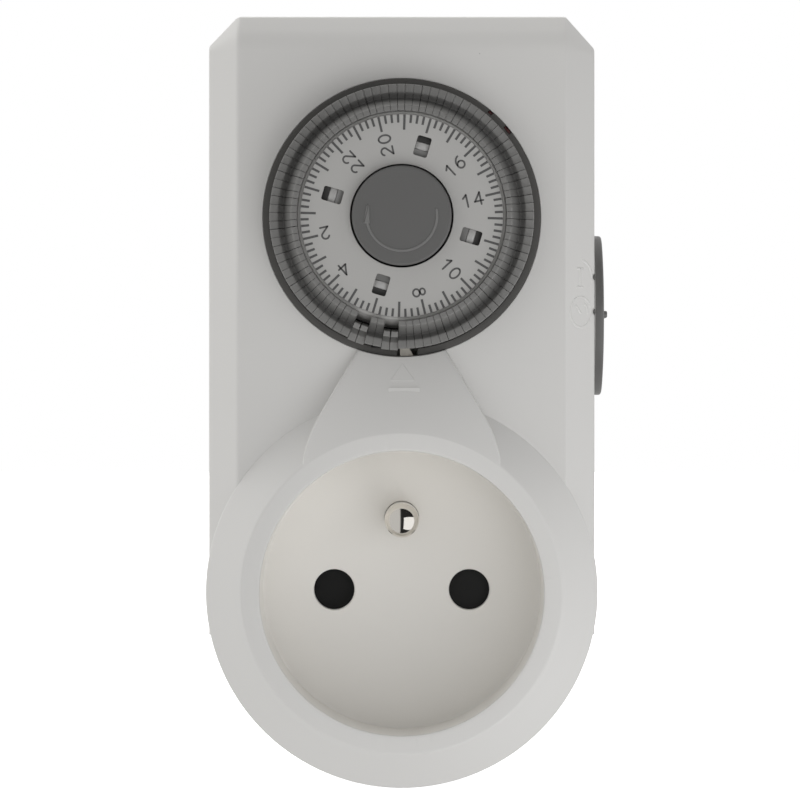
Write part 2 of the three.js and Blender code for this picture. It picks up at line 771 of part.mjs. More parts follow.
// Dial drum: a cup on the axle, its groove full of tappets, with four hooks for the plate
function dialDrum() {
  const d = drum;
  const webZ = drumBackZ + d.web;
  const wallTopZ = plateZ - seatGap;
  const cup = revolveRing([
    [axle.bore, drumBackZ],
    [d.rim, drumBackZ],
    [d.rim, grooveZ],
    [tappet.tabOuter - runningGap, grooveZ],
    [d.wallRadius, wallTopZ],
    [d.bore, wallTopZ],
    [d.bore, webZ],
    [d.hub, webZ],
    [d.hub, webZ + d.hubRise],
    [axle.bore, webZ + d.hubRise],
  ], roundMedium);
  const fixed = [];
  for (let index = 0; index < tappetCount; index += 1) {
    if (!isMovable(index)) fixed.push(fixedTappet(tappetAngle(index)));
  }
  const hooks = [0, 1, 2, 3].map((quarter) => {
    const top = plateZ + dialPlate.thickness - hook.sink;
    const post = slab(-hook.radial / 2, hook.radial / 2, -hook.wide / 2, hook.wide / 2, webZ - overrun, top);
    return turnedAboutZ(post.translate(plateWindow.radius, 0, 0), hourAngle + 90 * quarter);
  });
  return join(cup, ...fixed, ...hooks);
}

function windowPath(angle) {
  const [long, wide, corner] = [plateWindow.long / 2, plateWindow.wide / 2, plateWindow.corner];
  const path = new THREE.Shape();
  path.absarc(long - corner, wide - corner, corner, 0, Math.PI / 2, false);
  path.absarc(corner - long, wide - corner, corner, Math.PI / 2, Math.PI, false);
  path.absarc(corner - long, corner - wide, corner, Math.PI, Math.PI * 1.5, false);
  path.absarc(long - corner, corner - wide, corner, Math.PI * 1.5, Math.PI * 2, false);
  const body = plate(path, plateZ - overrun, plateZ + dialPlate.thickness + overrun, 2);
  return turnedAboutZ(body.translate(plateWindow.radius, 0, 0), angle);
}

function numberPlate() {
  const top = plateZ + dialPlate.thickness;
  const disc = revolveRing([
    [dialPlate.bore, plateZ],
    [dialPlate.radius, plateZ],
    [dialPlate.radius, top],
    [dialPlate.bore, top],
  ], roundFine);
  return cut(disc, ...[0, 1, 2, 3].map((quarter) => windowPath(hourAngle + 90 * quarter)));
}

function dialKnob() {
  const top = ledgeZ + knob.rise;
  const capZ = drumBackZ + drum.web + knob.cap;
  const skirtZ = top - knob.skirt;
  const bore = drum.hub + seatGap;
  return revolve([
    [0, capZ],
    [bore, capZ],
    [bore, skirtZ],
    [knob.radius, skirtZ],
    [knob.radius, top - knob.edge],
    [knob.radius - knob.edge, top],
    [0, top + knob.crown],
  ], roundMedium);
}

// Static grey ring round the dial, broken for the time pointer and at two drain slots
function dialBezel() {
  const b = bezel;
  const flangeTop = innerFaceZ - seatGap;
  const low = flangeTop - b.flangeDepth;
  const ring = revolveRing([
    [b.inner, low],
    [b.flange, low],
    [b.flange, flangeTop],
    [b.outer, flangeTop],
    [b.outer, faceZ + b.proud],
    [b.inner, faceZ + b.proud],
  ], roundFine);
  const slots = bezelSlots.map((slot) => {
    const body = slab(b.inner - overrun, b.outer + overrun, -slot.width / 2, slot.width / 2, flangeTop, rimZ);
    return turnedAboutZ(body, slot.angle);
  });
  const notchX = pointer.offset;
  const notch = slab(
    notchX - pointer.notch / 2, notchX + pointer.notch / 2,
    -b.flange - overrun, overrun - b.inner,
    low - overrun, rimZ,
  );
  return cut(ring, notch, ...slots).translate(0, dialHeight, 0);
}

function timePointer() {
  const [top, foot] = [pointer.topWidth / 2, pointer.footWidth / 2];
  const low = openingRadius - seatGap;
  const base = innerFaceZ - seatGap;
  const flag = plate(outlineOf([
    [pointer.offset - top, -pointer.inner],
    [pointer.offset - foot, -low],
    [pointer.offset + foot, -low],
    [pointer.offset + top, -pointer.inner],
  ]), base - stripThickness, faceZ + pointer.proud);
  const stem = slab(
    pointer.offset - top, pointer.offset + top,
    -low - pointer.foot, -pointer.inner,
    base - stripThickness, base,
  );
  return join(flag, stem).translate(0, dialHeight, 0);
}

// Gears: straight sided teeth with generous flank play, as moulded timer wheels have
function gear(teeth, firstTooth, bore, z) {
  const tipRadius = gearModule * (teeth / 2 + tooth.tip);
  const rootRadius = gearModule * (teeth / 2 - tooth.root);
  const [rootShare, tipShare] = [0.25, 0.09];
  const pitch = (2 * Math.PI) / teeth;
  const points = [];
  for (let i = 0; i < teeth; i += 1) {
    const middle = THREE.MathUtils.degToRad(firstTooth) + i * pitch;
    const corners = [
      [rootRadius, -rootShare],
      [tipRadius, -tipShare],
      [tipRadius, tipShare],
      [rootRadius, rootShare],
    ];
    corners.forEach(([radius, share]) => {
      const angle = middle + share * pitch;
      points.push([radius * Math.cos(angle), radius * Math.sin(angle)]);
    });
  }
  const shape = outlineOf(points);
  const hole = new THREE.Path().absarc(0, 0, bore, 0, 2 * Math.PI, true);
  shape.holes.push(hole);
  return plate(shape, z, z + gearDepth, 10);
}

function idlerPinion() {
  const low = wheelZ + gearDepth + seatGap;
  const head = gear(pinionTeeth, 90 + 180 / pinionTeeth, spindle.bore, dialGearZ);
  const sleeve = revolveRing([
    [spindle.bore, low],
    [pinionPitchRadius - gearModule, low],
    [pinionPitchRadius - gearModule, dialGearZ + gearDepth / 2],
    [spindle.bore, dialGearZ + gearDepth / 2],
  ], roundSmall);
  return join(head, sleeve).translate(0, idlerY, 0);
}

function motorPinion() {
  const half = 180 / pinionTeeth;
  const teeth = gear(pinionTeeth, motorDirection + 180 + half, motor.shaft / 2, wheelZ);
  const shaftZ = innerBackZ + runningGap + motor.depth / 2;
  const shaft = rod(motor.shaft, shaftZ, wheelZ + gearDepth + seatGap, 0, 0, 12);
  return join(teeth, shaft).translate(motorX, motorY, 0);
}

function motorCase() {
  const low = innerBackZ + seatGap;
  const top = low + motor.depth - motor.bearingDepth;
  const can = rod(motor.radius, low, top, 0, 0, roundMedium);
  const bearing = rod(motor.bearing, top - overrun, low + motor.depth, 0, 0);
  const ears = [100, 280].map((angle) => {
    const reach = motor.radius + motor.ear;
    return turnedAboutZ(slab(0, reach, -motor.ear / 2, motor.ear / 2, low, low + motor.earDepth), angle);
  });
  const bore = rod(motor.shaft + runningGap, low + motor.depth / 2 - overrun, wheelZ, 0, 0);
  return cut(join(can, bearing, ...ears), bore).translate(motorX, motorY, 0);
}

// Plate in front of the gears: it holds the axle, the lever's ears and its four posts
function carrierPlate() {
  const c = carrier;
  const top = carrierZ + c.depth;
  const base = slab(-c.left, c.right, carrierLow, carrierHigh, carrierZ, top);
  const earTop = leverZ + ear.above;
  const [earLow, earHigh] = [leverY - ear.width / 2, leverY + ear.width / 2];
  const leftEar = lever.left - runningGap;
  const rightEar = lever.right + runningGap;
  const tailGap = lever.tailLeft - overrun;
  const [under, over] = [carrierZ - overrun, top + overrun];
  const [slotLow, slotHigh] = [selectorY - selectorSlot.half, selectorY + selectorSlot.half];
  const pinRound = carrierPin - seatGap;
  const pins = carrierPosts.map(([x, y]) => rod(pinRound, carrierZ - wall, carrierZ + seatGap, x, y, 12));
  return cut(
    join(
      base,
      slab(leftEar - ear.thickness, leftEar, earLow, earHigh, carrierZ, earTop),
      slab(rightEar, rightEar + ear.thickness, earLow, earHigh, carrierZ, earTop),
      ...pins,
    ),
    rod(axle.radius + seatGap, under, over, 0, dialHeight),
    rod(c.hole, under, over, 0, idlerY),
    slab(selectorSlot.left, c.right + overrun, slotLow, slotHigh, under, over),
    slab(tailGap, lever.right, carrierLow - overrun, leverY + ear.width, under, over),
    crossRod(lever.pin + seatGap, leftEar - wall, rightEar + wall, leverY, leverZ, 12),
  );
}

function leverBody() {
  const v = lever;
  const noseX = v.left + v.noseWidth / 2;
  const reachOf = (radius) => dialHeight - Math.sqrt(radius * radius - noseX * noseX);
  const noseLow = reachOf(v.noseOuter);
  const noseHigh = reachOf(v.noseInner);
  const [tailLow, tailHigh] = [leverY - v.tailHeight / 2, leverY + v.tailHeight / 2];
  const tail = slab(v.tailLeft, v.tailLeft + v.tailWidth, tailLow, tailHigh, leverZ - v.tailDrop, leverZ);
  return cut(
    join(
      crossRod(v.bar, v.left, v.right, leverY, leverZ, 16),
      slab(v.left, v.left + v.noseWidth, leverY, noseHigh, leverZ - v.armDepth / 2, leverZ + v.armDepth / 2),
      slab(v.left, v.left + v.noseWidth, noseLow, noseHigh, leverZ, leverZ + v.noseRise),
      tail,
    ),
    crossRod(v.bore, v.left - overrun, v.right + overrun, leverY, leverZ, 16),
  );
}

function movingContact() {
  const face = leverY - lever.tailHeight / 2 - seatGap;
  const x = lever.tailLeft + lever.tailWidth / 2;
  return alongY(contactRivet.radius, face - contactRivet.depth, face, x, rivetZ);
}

// Selector: a domed disc with a pointer rib, on a shaft with a cam that holds the switch on
function selectorKnob() {
  const s = selector;
  const inner = sideX + runningGap;
  const outer = inner + s.thickness - runningGap;
  const disc = revolve([
    [0, inner],
    [s.radius, inner],
    [s.radius, outer - s.edge],
    [s.radius - s.edge, outer],
    [0, outer + s.dome],
  ]);
  const rib = slab(0, s.ribLength, -s.ribWidth / 2, s.ribWidth / 2, inner + seatGap, outer + s.rib);
  const shaft = rod(s.shaft, s.reach, inner + seatGap);
  return join(disc, rib, shaft).rotateY(Math.PI / 2).rotateX(Math.PI).translate(0, selectorY, selectorZ);
}

function selectorCam() {
  const s = selector;
  const outer = s.reach - seatGap;
  const disc = crossRod(s.cam, outer - s.camDepth, outer, selectorY, selectorZ);
  const [flatLow, flatTop] = [selectorY + s.camFlat, selectorY + s.cam + overrun];
  const flat = slab(0, sideX, flatLow, flatTop, selectorZ - s.cam, selectorZ + s.cam);
  return cut(disc, flat);
}

// The assembly
const timer = new THREE.Group();
timer.name = 'plug_in_timer_switch';
const upright = new THREE.Group();
upright.rotation.x = Math.PI / 2;
timer.add(upright);

function add(name, geometry, material, parent = upright) {
  const mesh = new THREE.Mesh(closedBody(geometry), material);
  mesh.name = name;
  parent.add(mesh);
  return mesh;
}

add('front_shell', frontShell(), paleShell);
add('rear_shell', rearShell(), paleShell);
everyScrew.forEach(([x, y], i) => add(`rear_screw_${i + 1}`, rearScrew(x, y), steel));

add('plug_pin_live', plugPin(pinX, bossFloor + seatGap + pinHead.depth + seatGap / 2), nickel);
add('plug_pin_neutral', plugPin(-pinX, socketContact.base - seatGap), nickel);
add('plug_earth_sleeve', earthSleeveTube(), brass);
add('earth_clip_top', earthSideClip(1), nickel);
add('earth_clip_bottom', earthSideClip(-1), nickel);
add('earth_strap', earthStrap(), brass);
add('socket_earth_pin', socketEarthPin(), nickel);
add('neutral_contact', springContact(-pinX), brass);
add('live_contact', springContact(pinX), brass);
add('live_strip', liveStrip(), copper);
add('load_strip', loadStrip(), copper);

add('shutter_guide', shutterGuide(), natural);
add('shutter', shutterPlate(), blackPlastic);
add('shutter_spring', shutterSpring(), steel);

add('dial_bezel', dialBezel(), darkGrey);
add('time_pointer', timePointer(), cream);

const axleTop = drumBackZ + drum.web + drum.hubRise + runningGap + axle.clipDepth + runningGap;
add('dial_axle', rod(axle.radius, innerBackZ + seatGap, axleTop, 0, dialHeight), steel);
const clipZ = axleTop - runningGap - axle.clipDepth;
add('axle_clip', revolveRing([
  [axle.radius + seatGap, clipZ],
  [axle.clip, clipZ],
  [axle.clip, clipZ + axle.clipDepth],
  [axle.radius + seatGap, clipZ + axle.clipDepth],
], roundSmall).translate(0, dialHeight, 0), steel);
add('carrier_plate', carrierPlate(), natural);
const spindleTop = dialGearZ + gearDepth + seatGap;
add('idler_spindle', rod(spindle.radius, innerBackZ + seatGap, spindleTop, 0, idlerY, 12), steel);
add('motor', motorCase(), steel);
const pinLeft = lever.left - runningGap - ear.thickness;
const pinRight = lever.right + runningGap + ear.thickness;
add('lever_pin', crossRod(lever.pin, pinLeft, pinRight, leverY, leverZ, 12), steel);

const dial = new THREE.Group();
dial.position.set(0, dialHeight, 0);
upright.add(dial);
add('dial_drum', dialDrum(), tappetGrey, dial);
add('dial_plate', numberPlate(), plateGrey, dial);
add('dial_knob', dialKnob(), darkGrey, dial);
add('dial_gear', gear(dialTeeth, -90, axle.bore, dialGearZ), natural, dial);

for (let i = 0; i < movableTappets; i += 1) {
  const seat = new THREE.Group();
  seat.rotation.z = THREE.MathUtils.degToRad(tappetAngle(firstMovable + i));
  dial.add(seat);
  const mesh = add(`tappet_${i + 1}`, movingTappet(), tappetGrey, seat);
  mesh.position.set(tappet.pivotRadius, 0, pivotZ);
  if (pushedOut.includes(i)) mesh.rotation.y = THREE.MathUtils.degToRad(tappetTilt);
}

add('idler_wheel', gear(wheelTeeth, motorDirection, spindle.bore, wheelZ).translate(0, idlerY, 0), natural);
add('idler_pinion', idlerPinion(), natural);
add('motor_pinion', motorPinion(), brass);
add('switch_lever', leverBody(), natural);
add('moving_contact', movingContact(), nickel);
add('selector_knob', selectorKnob(), darkGrey);
add('selector_cam', selectorCam(), natural);

export default timer;
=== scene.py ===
# Looks of the plug-in timer switch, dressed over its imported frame.
#
# Pieces are drawn in millimetres as the user sees them: x to the right, y up, z out of the
# wall, with z = 0 at the plug's end face. finished_piece() turns them into the row frame.

import json
import math

import bmesh
import bpy
from mathutils import Matrix, Vector


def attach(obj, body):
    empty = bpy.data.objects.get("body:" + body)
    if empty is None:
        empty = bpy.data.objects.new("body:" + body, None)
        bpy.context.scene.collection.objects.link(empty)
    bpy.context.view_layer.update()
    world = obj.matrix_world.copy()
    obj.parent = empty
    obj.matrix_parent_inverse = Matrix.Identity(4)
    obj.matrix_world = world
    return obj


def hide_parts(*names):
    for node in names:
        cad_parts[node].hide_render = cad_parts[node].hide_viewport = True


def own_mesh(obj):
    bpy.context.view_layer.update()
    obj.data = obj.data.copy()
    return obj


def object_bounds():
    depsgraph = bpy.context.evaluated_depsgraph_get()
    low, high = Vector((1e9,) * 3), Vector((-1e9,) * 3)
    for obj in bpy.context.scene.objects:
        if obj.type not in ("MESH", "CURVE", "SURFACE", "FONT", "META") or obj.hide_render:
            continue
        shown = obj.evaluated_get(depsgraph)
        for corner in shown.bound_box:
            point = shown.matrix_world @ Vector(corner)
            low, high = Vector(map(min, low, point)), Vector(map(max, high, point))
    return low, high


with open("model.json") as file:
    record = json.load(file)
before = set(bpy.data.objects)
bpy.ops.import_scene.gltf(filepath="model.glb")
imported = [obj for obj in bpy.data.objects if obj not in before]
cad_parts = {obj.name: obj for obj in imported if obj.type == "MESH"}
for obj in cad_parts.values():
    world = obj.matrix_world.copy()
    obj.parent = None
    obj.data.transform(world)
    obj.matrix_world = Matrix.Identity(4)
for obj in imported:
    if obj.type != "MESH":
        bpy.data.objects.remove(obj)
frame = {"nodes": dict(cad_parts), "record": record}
cad_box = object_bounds()

MM = 0.001
FRONT_VIEW = Matrix(((1, 0, 0, 0), (0, 0, -1, 0), (0, 1, 0, 0), (0, 0, 0, 1))) @ Matrix.Scale(MM, 4)


def at(x, y, z):
    """A point of the front view, in the row frame."""
    return FRONT_VIEW @ Vector((x, y, z))


# Camera, 690 mm in front of the dial face and level with the middle of the picture
EYE, LENS, FILM_WIDTH = (-0.24, 26.66, 731), 223.8, 36
camera_data = bpy.data.cameras.new("photo_camera")
camera_data.sensor_width = FILM_WIDTH
camera_data.lens = LENS
camera_data.clip_end = 10
camera = bpy.data.objects.new("photo_camera", camera_data)
camera.location = at(*EYE)
camera.rotation_euler = (math.radians(90), 0, 0)
bpy.context.collection.objects.link(camera)
bpy.context.scene.camera = camera


# Sizes of the pieces: millimetres, degrees and counts
# Body: half width, top, then the depths of its back, joint and face
BODY_HALF, BODY_TOP, BODY_BACK, BODY_SPLIT, BODY_FACE = 26.9, 80.3, 17.0, 22.0, 41.0
CHAMFER, WALL = 4.08, 2.0  # leg of the clipped corners and side bevels, thickness
CORNER_SHRINK = 2 - math.sqrt(2)  # what a clipped corner loses for each millimetre of inset
# Bevel at the body's top: size, slope, and as shares of the size its reach and its steps in and down
TOP_ROUND, TOP_SLOPE, TOP_REACH = 5.0, math.radians(34), 1.02
TOP_STEPS = ((0.018, 1.0), (0.06, 0.53), (0.068, 0.47), (0.1, 0.42))
CLEAR = 60.0  # a depth in front of everything
ROUND = 192  # facets of the large round forms
# Socket: radii and depths of its tower, rim and recess, and the ramp's fall for each millimetre
TOWER, RIM, RIM_TOP = 27.2, 22.2, 46.0
RECESS, RECESS_FLOOR = 19.6, 31.0
RAMP_FALL = 0.365
# Pins and their holes: radii, how far off the middle they stand, length
HOLE, PIN, PIN_X, EARTH_Y, PIN_LENGTH = 2.84, 2.4, 9.5, 10.0, 19
# Dial: its middle, the opening's radius, the plate's depths and the place of its windows
DIAL_Y, OPENING = 52.0, 19.3
PLATE_Z, PLATE_TOP, WINDOW_R = 46.5, 47.3, 9.93
ANGLE_OF_18 = 73.4  # where the dial's 18 o'clock stands
# Tappets: how many, the step between them, those that move, and which of these are pushed out how far
TAPPETS, TAPPET_TURN = 96, 3.75
FIRST_MOVING, MOVING = 42, 10
PUSHED_OUT, TILT = (2, 3, 6, 7), 22
TAPPET_GAPS = (0.09, 0.03, 0.06, 0.1, 0.02, 0.07, 0.04)  # they never stand quite evenly
LEDGE, FLANK = 45.4, 0.04  # depth of their outer ledge, chamfer on their flanks
PIVOT_R, PIVOT_Z = 16.4, 44.3
TROUGH_R, TROUGH_HALF = 16.3, 1.3
# Screws, and the posts of the rear shell: place, radius, top and bore
SCREWS = ((20, 73), (16.3, -16.3), (-20, 73), (-16.3, -16.3))
POSTS = (
    *((x, y, 3.2, BODY_SPLIT, 1.55) for x, y in SCREWS),
    *((x, y, 2.0, 28.15, 1.0) for x, y in ((-19.5, 66), (19.5, 66), (20.5, 30), (-19, 25))),
    (0, DIAL_Y, 4.0, 24.55, 2.1), (0, 33.0, 2.2, 25.55, 1.0),
)  # for the screws, the carrier plate, the dial's axle and the idler's spindle
# Selector: centre on the right side, and how high over it the two index notches stand
SELECTOR_Y, SELECTOR_Z = 38.6, 28.0
NOTCH_RISES = (0.35, 5.2)

TO_THE_DIAL = Matrix.Translation((0, DIAL_Y, 0))
TO_THE_RIGHT = Matrix.Translation((0, SELECTOR_Y, SELECTOR_Z)) @ Matrix(
    ((0, 0, 1, 0), (0, -1, 0, 0), (1, 0, 0, 0), (0, 0, 0, 1)))


# Shaping tools
def soften(corners, closed=True, steps=4):
    """Corners (u, v) or (u, v, radius) as a line whose corners are rounded by their radius."""
    line = []
    count = len(corners)
    for i, corner in enumerate(corners):
        here = Vector(corner[:2])
        radius = corner[2] if len(corner) > 2 else 0
        if not radius or (not closed and i in (0, count - 1)):
            line.append((here.x, here.y))
            continue
        before = Vector(corners[i - 1][:2]) - here
        after = Vector(corners[(i + 1) % count][:2]) - here
        bend = before.angle(after)
        most = 0.48 * min(before.length, after.length)  # a rounding takes less than half of a side
        reach = min(radius / math.tan(bend / 2), most)
        start, end = here + before.normalized() * reach, here + after.normalized() * reach
        for k in range(steps + 1):
            t = k / steps
            spot = start * (1 - t) ** 2 + here * 2 * t * (1 - t) + end * t ** 2
            line.append((spot.x, spot.y))
    return line


def turned(profile, segments, centre=(0, 0)):
    """Closed form turned round z: its profile (radius, z) starts and ends on the axis, or is a ring."""
    on_axis = 1e-6
    bm = bmesh.new()
    rings = []
    for radius, z in profile:
        if radius < on_axis:
            rings.append([bm.verts.new((centre[0], centre[1], z))])
            continue
        ring = []
        for k in range(segments):
            angle = 2 * math.pi * k / segments
            ring.append(bm.verts.new((
                centre[0] + radius * math.cos(angle), centre[1] + radius * math.sin(angle), z)))
        rings.append(ring)
    pairs = list(zip(rings, rings[1:]))
    if profile[0][0] > on_axis:
        pairs.append((rings[-1], rings[0]))
    for low, high in pairs:
        for k in range(segments):
            after = (k + 1) % segments
            corners = [low[k % len(low)], low[after % len(low)],
                       high[after % len(high)], high[k % len(high)]]
            unique = list(dict.fromkeys(corners))
            if len(unique) > 2:
                bm.faces.new(unique)
    bmesh.ops.recalc_face_normals(bm, faces=bm.faces)
    return bm


def peg(radius, low, high, segments=32, centre=(0, 0)):
    """A plain round peg, for posts, shafts and bores."""
    return turned([(0, low), (radius, low), (radius, high), (0, high)], segments, centre)


def lofted(sections):
    """Skin over sections, lists of as many 3-D points each, closed at both ends."""
    bm = bmesh.new()
    rings = [[bm.verts.new(spot) for spot in section] for section in sections]
    for low, high in zip(rings, rings[1:]):
        for k in range(len(low)):
            after = (k + 1) % len(low)
            bm.faces.new((low[k], low[after], high[after], high[k]))
    bm.faces.new(rings[0])
    bm.faces.new(rings[-1])
    bmesh.ops.recalc_face_normals(bm, faces=bm.faces)
    return bm


def raised(outline, low, high, edge=0.0, steps=3, foot=0.0):
    """Outline (x, y) raised from low to high; edge rounds its top rim, foot its lower one."""
    levels = [(0.0, low)]
    if foot:
        levels = [(foot * (1 - math.sin(a)), low + foot * (1 - math.cos(a)))
                  for a in (math.pi / 2 * k / steps for k in range(steps + 1))]
    if edge:
        levels += [(edge * (1 - math.cos(a)), high - edge + edge * math.sin(a))
                   for a in (math.pi / 2 * k / steps for k in range(steps + 1))]
    else:
        levels.append((0.0, high))
    return lofted([[(x, y, z) for x, y in shrunk(outline, inset)] for inset, z in levels])


def shrunk(outline, inset):
    """Outline moved inwards by inset."""
    if not inset:
        return list(outline)
    area = sum(a[0] * b[1] - b[0] * a[1] for a, b in zip(outline, outline[1:] + outline[:1]))
    side = 1 if area > 0 else -1
    moved = []
    count = len(outline)
    for i in range(count):
        here = Vector(outline[i])
        a = (here - Vector(outline[i - 1])).normalized()
        b = (Vector(outline[(i + 1) % count]) - here).normalized()
        inward = Vector((-(a.y + b.y), a.x + b.x)) * side
        if inward.length < 1e-9:
            inward = Vector((-a.y, a.x)) * side
        inward.normalize()
        share = max(0.35, inward.dot(Vector((-a.y, a.x)) * side))  # sharp corners don't run far in
        spot = here + inward * inset / share
        moved.append((spot.x, spot.y))
    return moved


def box_outline(x0, x1, y0, y1, radius, steps=3):
    """A rectangle with its corners rounded by radius."""
    return soften([(x0, y0, radius), (x1, y0, radius), (x1, y1, radius), (x0, y1, radius)], steps=steps)


def arc_line(cx, cy, rx, ry, start, end, count):
    """Points of an ellipse round (cx, cy), from the start angle to the end angle in degrees."""
    angles = [math.radians(start + (end - start) * k / count) for k in range(count + 1)]
    return [(cx + rx * math.cos(a), cy + ry * math.sin(a)) for a in angles]


def slab(x0, x1, y0, y1, z0, z1):
    """A plain block, for cuts."""
    return raised([(x0, y0), (x1, y0), (x1, y1), (x0, y1)], z0, z1)


def stroke(points, width, low, high, edge):
    """A flat band of that width along points (x, y), with round ends, from low to high."""
    half = width / 2
    spots = [Vector(p) for p in points]
    left, right = [], []
    for i, here in enumerate(spots):
        before = spots[i - 1] if i else here
        after = spots[i + 1] if i + 1 < len(spots) else here
        run = (after - before).normalized()
        side = Vector((-run.y, run.x))
        left.append(here + side * half)
        right.append(here - side * half)

    def end_cap(middle, run):
        """Points of the half circle round an end."""
        start = math.atan2(run.y, run.x) + math.pi / 2
        return [middle + Vector((math.cos(start - math.pi * k / 4), math.sin(start - math.pi * k / 4))) * half
                for k in range(1, 4)]

    tail = end_cap(spots[-1], spots[-1] - spots[-2])
    head = end_cap(spots[0], spots[0] - spots[1])
    outline = [(v.x, v.y) for v in left + tail + right[::-1] + head]
    return raised(outline, low, high, edge=edge, steps=2)


def merged(*forms):
    """Several forms in one mesh, each still a closed body of its own."""
    whole = bmesh.new()
    for form in forms:
        part = bpy.data.meshes.new("part")
        form.to_mesh(part)
        form.free()
        whole.from_mesh(part)
        bpy.data.meshes.remove(part)
    return whole


def moved(form, matrix):
    """The form itself, carried to its place by the matrix."""
    bmesh.ops.transform(form, matrix=matrix, verts=form.verts)
    return form


def turn_z(degrees):
    """A turn round the z axis."""
    return Matrix.Rotation(math.radians(degrees), 4, "Z")


def blank(form):
    """A work object in the front view, for joins and cuts."""
    mesh = bpy.data.meshes.new("blank")
    bmesh.ops.recalc_face_normals(form, faces=form.faces)
    form.to_mesh(mesh)
    form.free()
    work = bpy.data.objects.new("blank", mesh)
    bpy.context.collection.objects.link(work)
    return work


JOIN, CUT = "UNION", "DIFFERENCE"


def carved(start, *steps):
    """The start form after its steps, each JOIN or CUT with a form, made one after another."""
    work = blank(start)
    for operation, form in steps:
        tool = blank(form)
        modifier = work.modifiers.new("cut", "BOOLEAN")
        modifier.operation = operation
        modifier.solver = "MANIFOLD"
        modifier.object = tool
        view = bpy.context.evaluated_depsgraph_get()
        shaped = bpy.data.meshes.new_from_object(work.evaluated_get(view))
        work.modifiers.clear()
        work.data = shaped
        bpy.data.objects.remove(tool)
    result = bmesh.new()
    result.from_mesh(work.data)
    bpy.data.objects.remove(work)
    return result


def finished_piece(name, form, material, body, nodes, edge=0.0, sharp=32):
    """The form as an object in the row frame, riding on its body and standing for its nodes.

    It is shaded smooth up to the sharp angle, and its edges are rounded by edge.
    """
    mesh = bpy.data.meshes.new(name)
    moved(form, FRONT_VIEW)
    form.to_mesh(mesh)
    form.free()
    mesh.materials.append(material)
    piece = bpy.data.objects.new(name, mesh)
    bpy.context.collection.objects.link(piece)
    if edge:
        rounding = piece.modifiers.new("soft_edges", "BEVEL")
        rounding.width = edge * MM
        rounding.segments = 2
        rounding.limit_method = "ANGLE"
        rounding.angle_limit = math.radians(30)
    mesh.shade_smooth()
    mesh.set_sharp_from_angle(angle=math.radians(sharp))
    weighted = piece.modifiers.new("flat_faces_stay_flat", "WEIGHTED_NORMAL")
    weighted.keep_sharp = True
    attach(piece, body)
    if nodes:
        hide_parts(*nodes)
    return piece


# Shared surface effects
FLOAT, COLOUR, VECTOR = "NodeSocketFloat", "NodeSocketColor", "NodeSocketVector"
GRAIN_DEPTH, MARK_DEPTH = 0.03 * MM, 0.02 * MM


def feed(tree, given, socket):
    """Wires another node's output to the socket, or sets the socket to a value."""
    if isinstance(given, bpy.types.NodeSocket):
        tree.links.new(given, socket)
    else:
        socket.default_value = given


def added(tree, kind, inputs=None, **settings):
    """A new node of that kind with its settings made and its inputs, by name or number, fed."""
    node = tree.nodes.new("ShaderNode" + kind)
    for label, value in settings.items():
        setattr(node, label, value)
    for label, given in (inputs or {}).items():
        feed(tree, given, node.inputs[label])
    return node


def number(tree, operation, *given):
    """Outcome of a calculation with numbers."""
    return added(tree, "Math", dict(enumerate(given)), operation=operation).outputs[0]


def vector(tree, operation, *given):
    """Outcomes of a calculation with vectors."""
    return added(tree, "VectorMath", dict(enumerate(given)), operation=operation).outputs


def between(tree, share, low, high):
    """Number that goes from low to high with the share."""
    return added(tree, "Mix", {"Factor": share, 2: low, 3: high}).outputs[0]


def tinted(tree, share, plain, other):
    """Colour that goes from plain to other with the share."""
    return added(tree, "Mix", {"Factor": share, 6: plain, 7: other}, data_type="RGBA").outputs[2]


def soft_step(tree, value, low, high, start=0.0):
    """Number that rises smoothly from start to 1 as the value goes from low to high."""
    inputs = {"Value": value, "From Min": low, "From Max": high, "To Min": start}
    return added(tree, "MapRange", inputs, interpolation_type="SMOOTHSTEP").outputs["Result"]


def noise(tree, place, scale, detail):
    """Cloudy number over the surface, round 0.5."""
    return added(tree, "TexNoise", {"Vector": place, "Scale": scale, "Detail": detail}).outputs["Fac"]


def relief(tree, height, strength, depth):
    """Normal of a surface whose height varies by depth, in metres."""
    return added(tree, "Bump", {"Height": height, "Strength": strength, "Distance": depth}).outputs["Normal"]


def own_place(tree):
    """The point of the surface in its own piece's frame, in metres."""
    return added(tree, "TexCoord").outputs["Object"]


def effect(name, inputs, outputs):
    """A node group with named inputs and outputs: the group, what it is given and what it gives."""
    group = bpy.data.node_groups.new(name, "ShaderNodeTree")
    for label, kind, value in inputs:
        group.interface.new_socket(label, in_out="INPUT", socket_type=kind).default_value = value
    for label, kind in outputs:
        group.interface.new_socket(label, in_out="OUTPUT", socket_type=kind)
    return group, group.nodes.new("NodeGroupInput").outputs, group.nodes.new("NodeGroupOutput").inputs


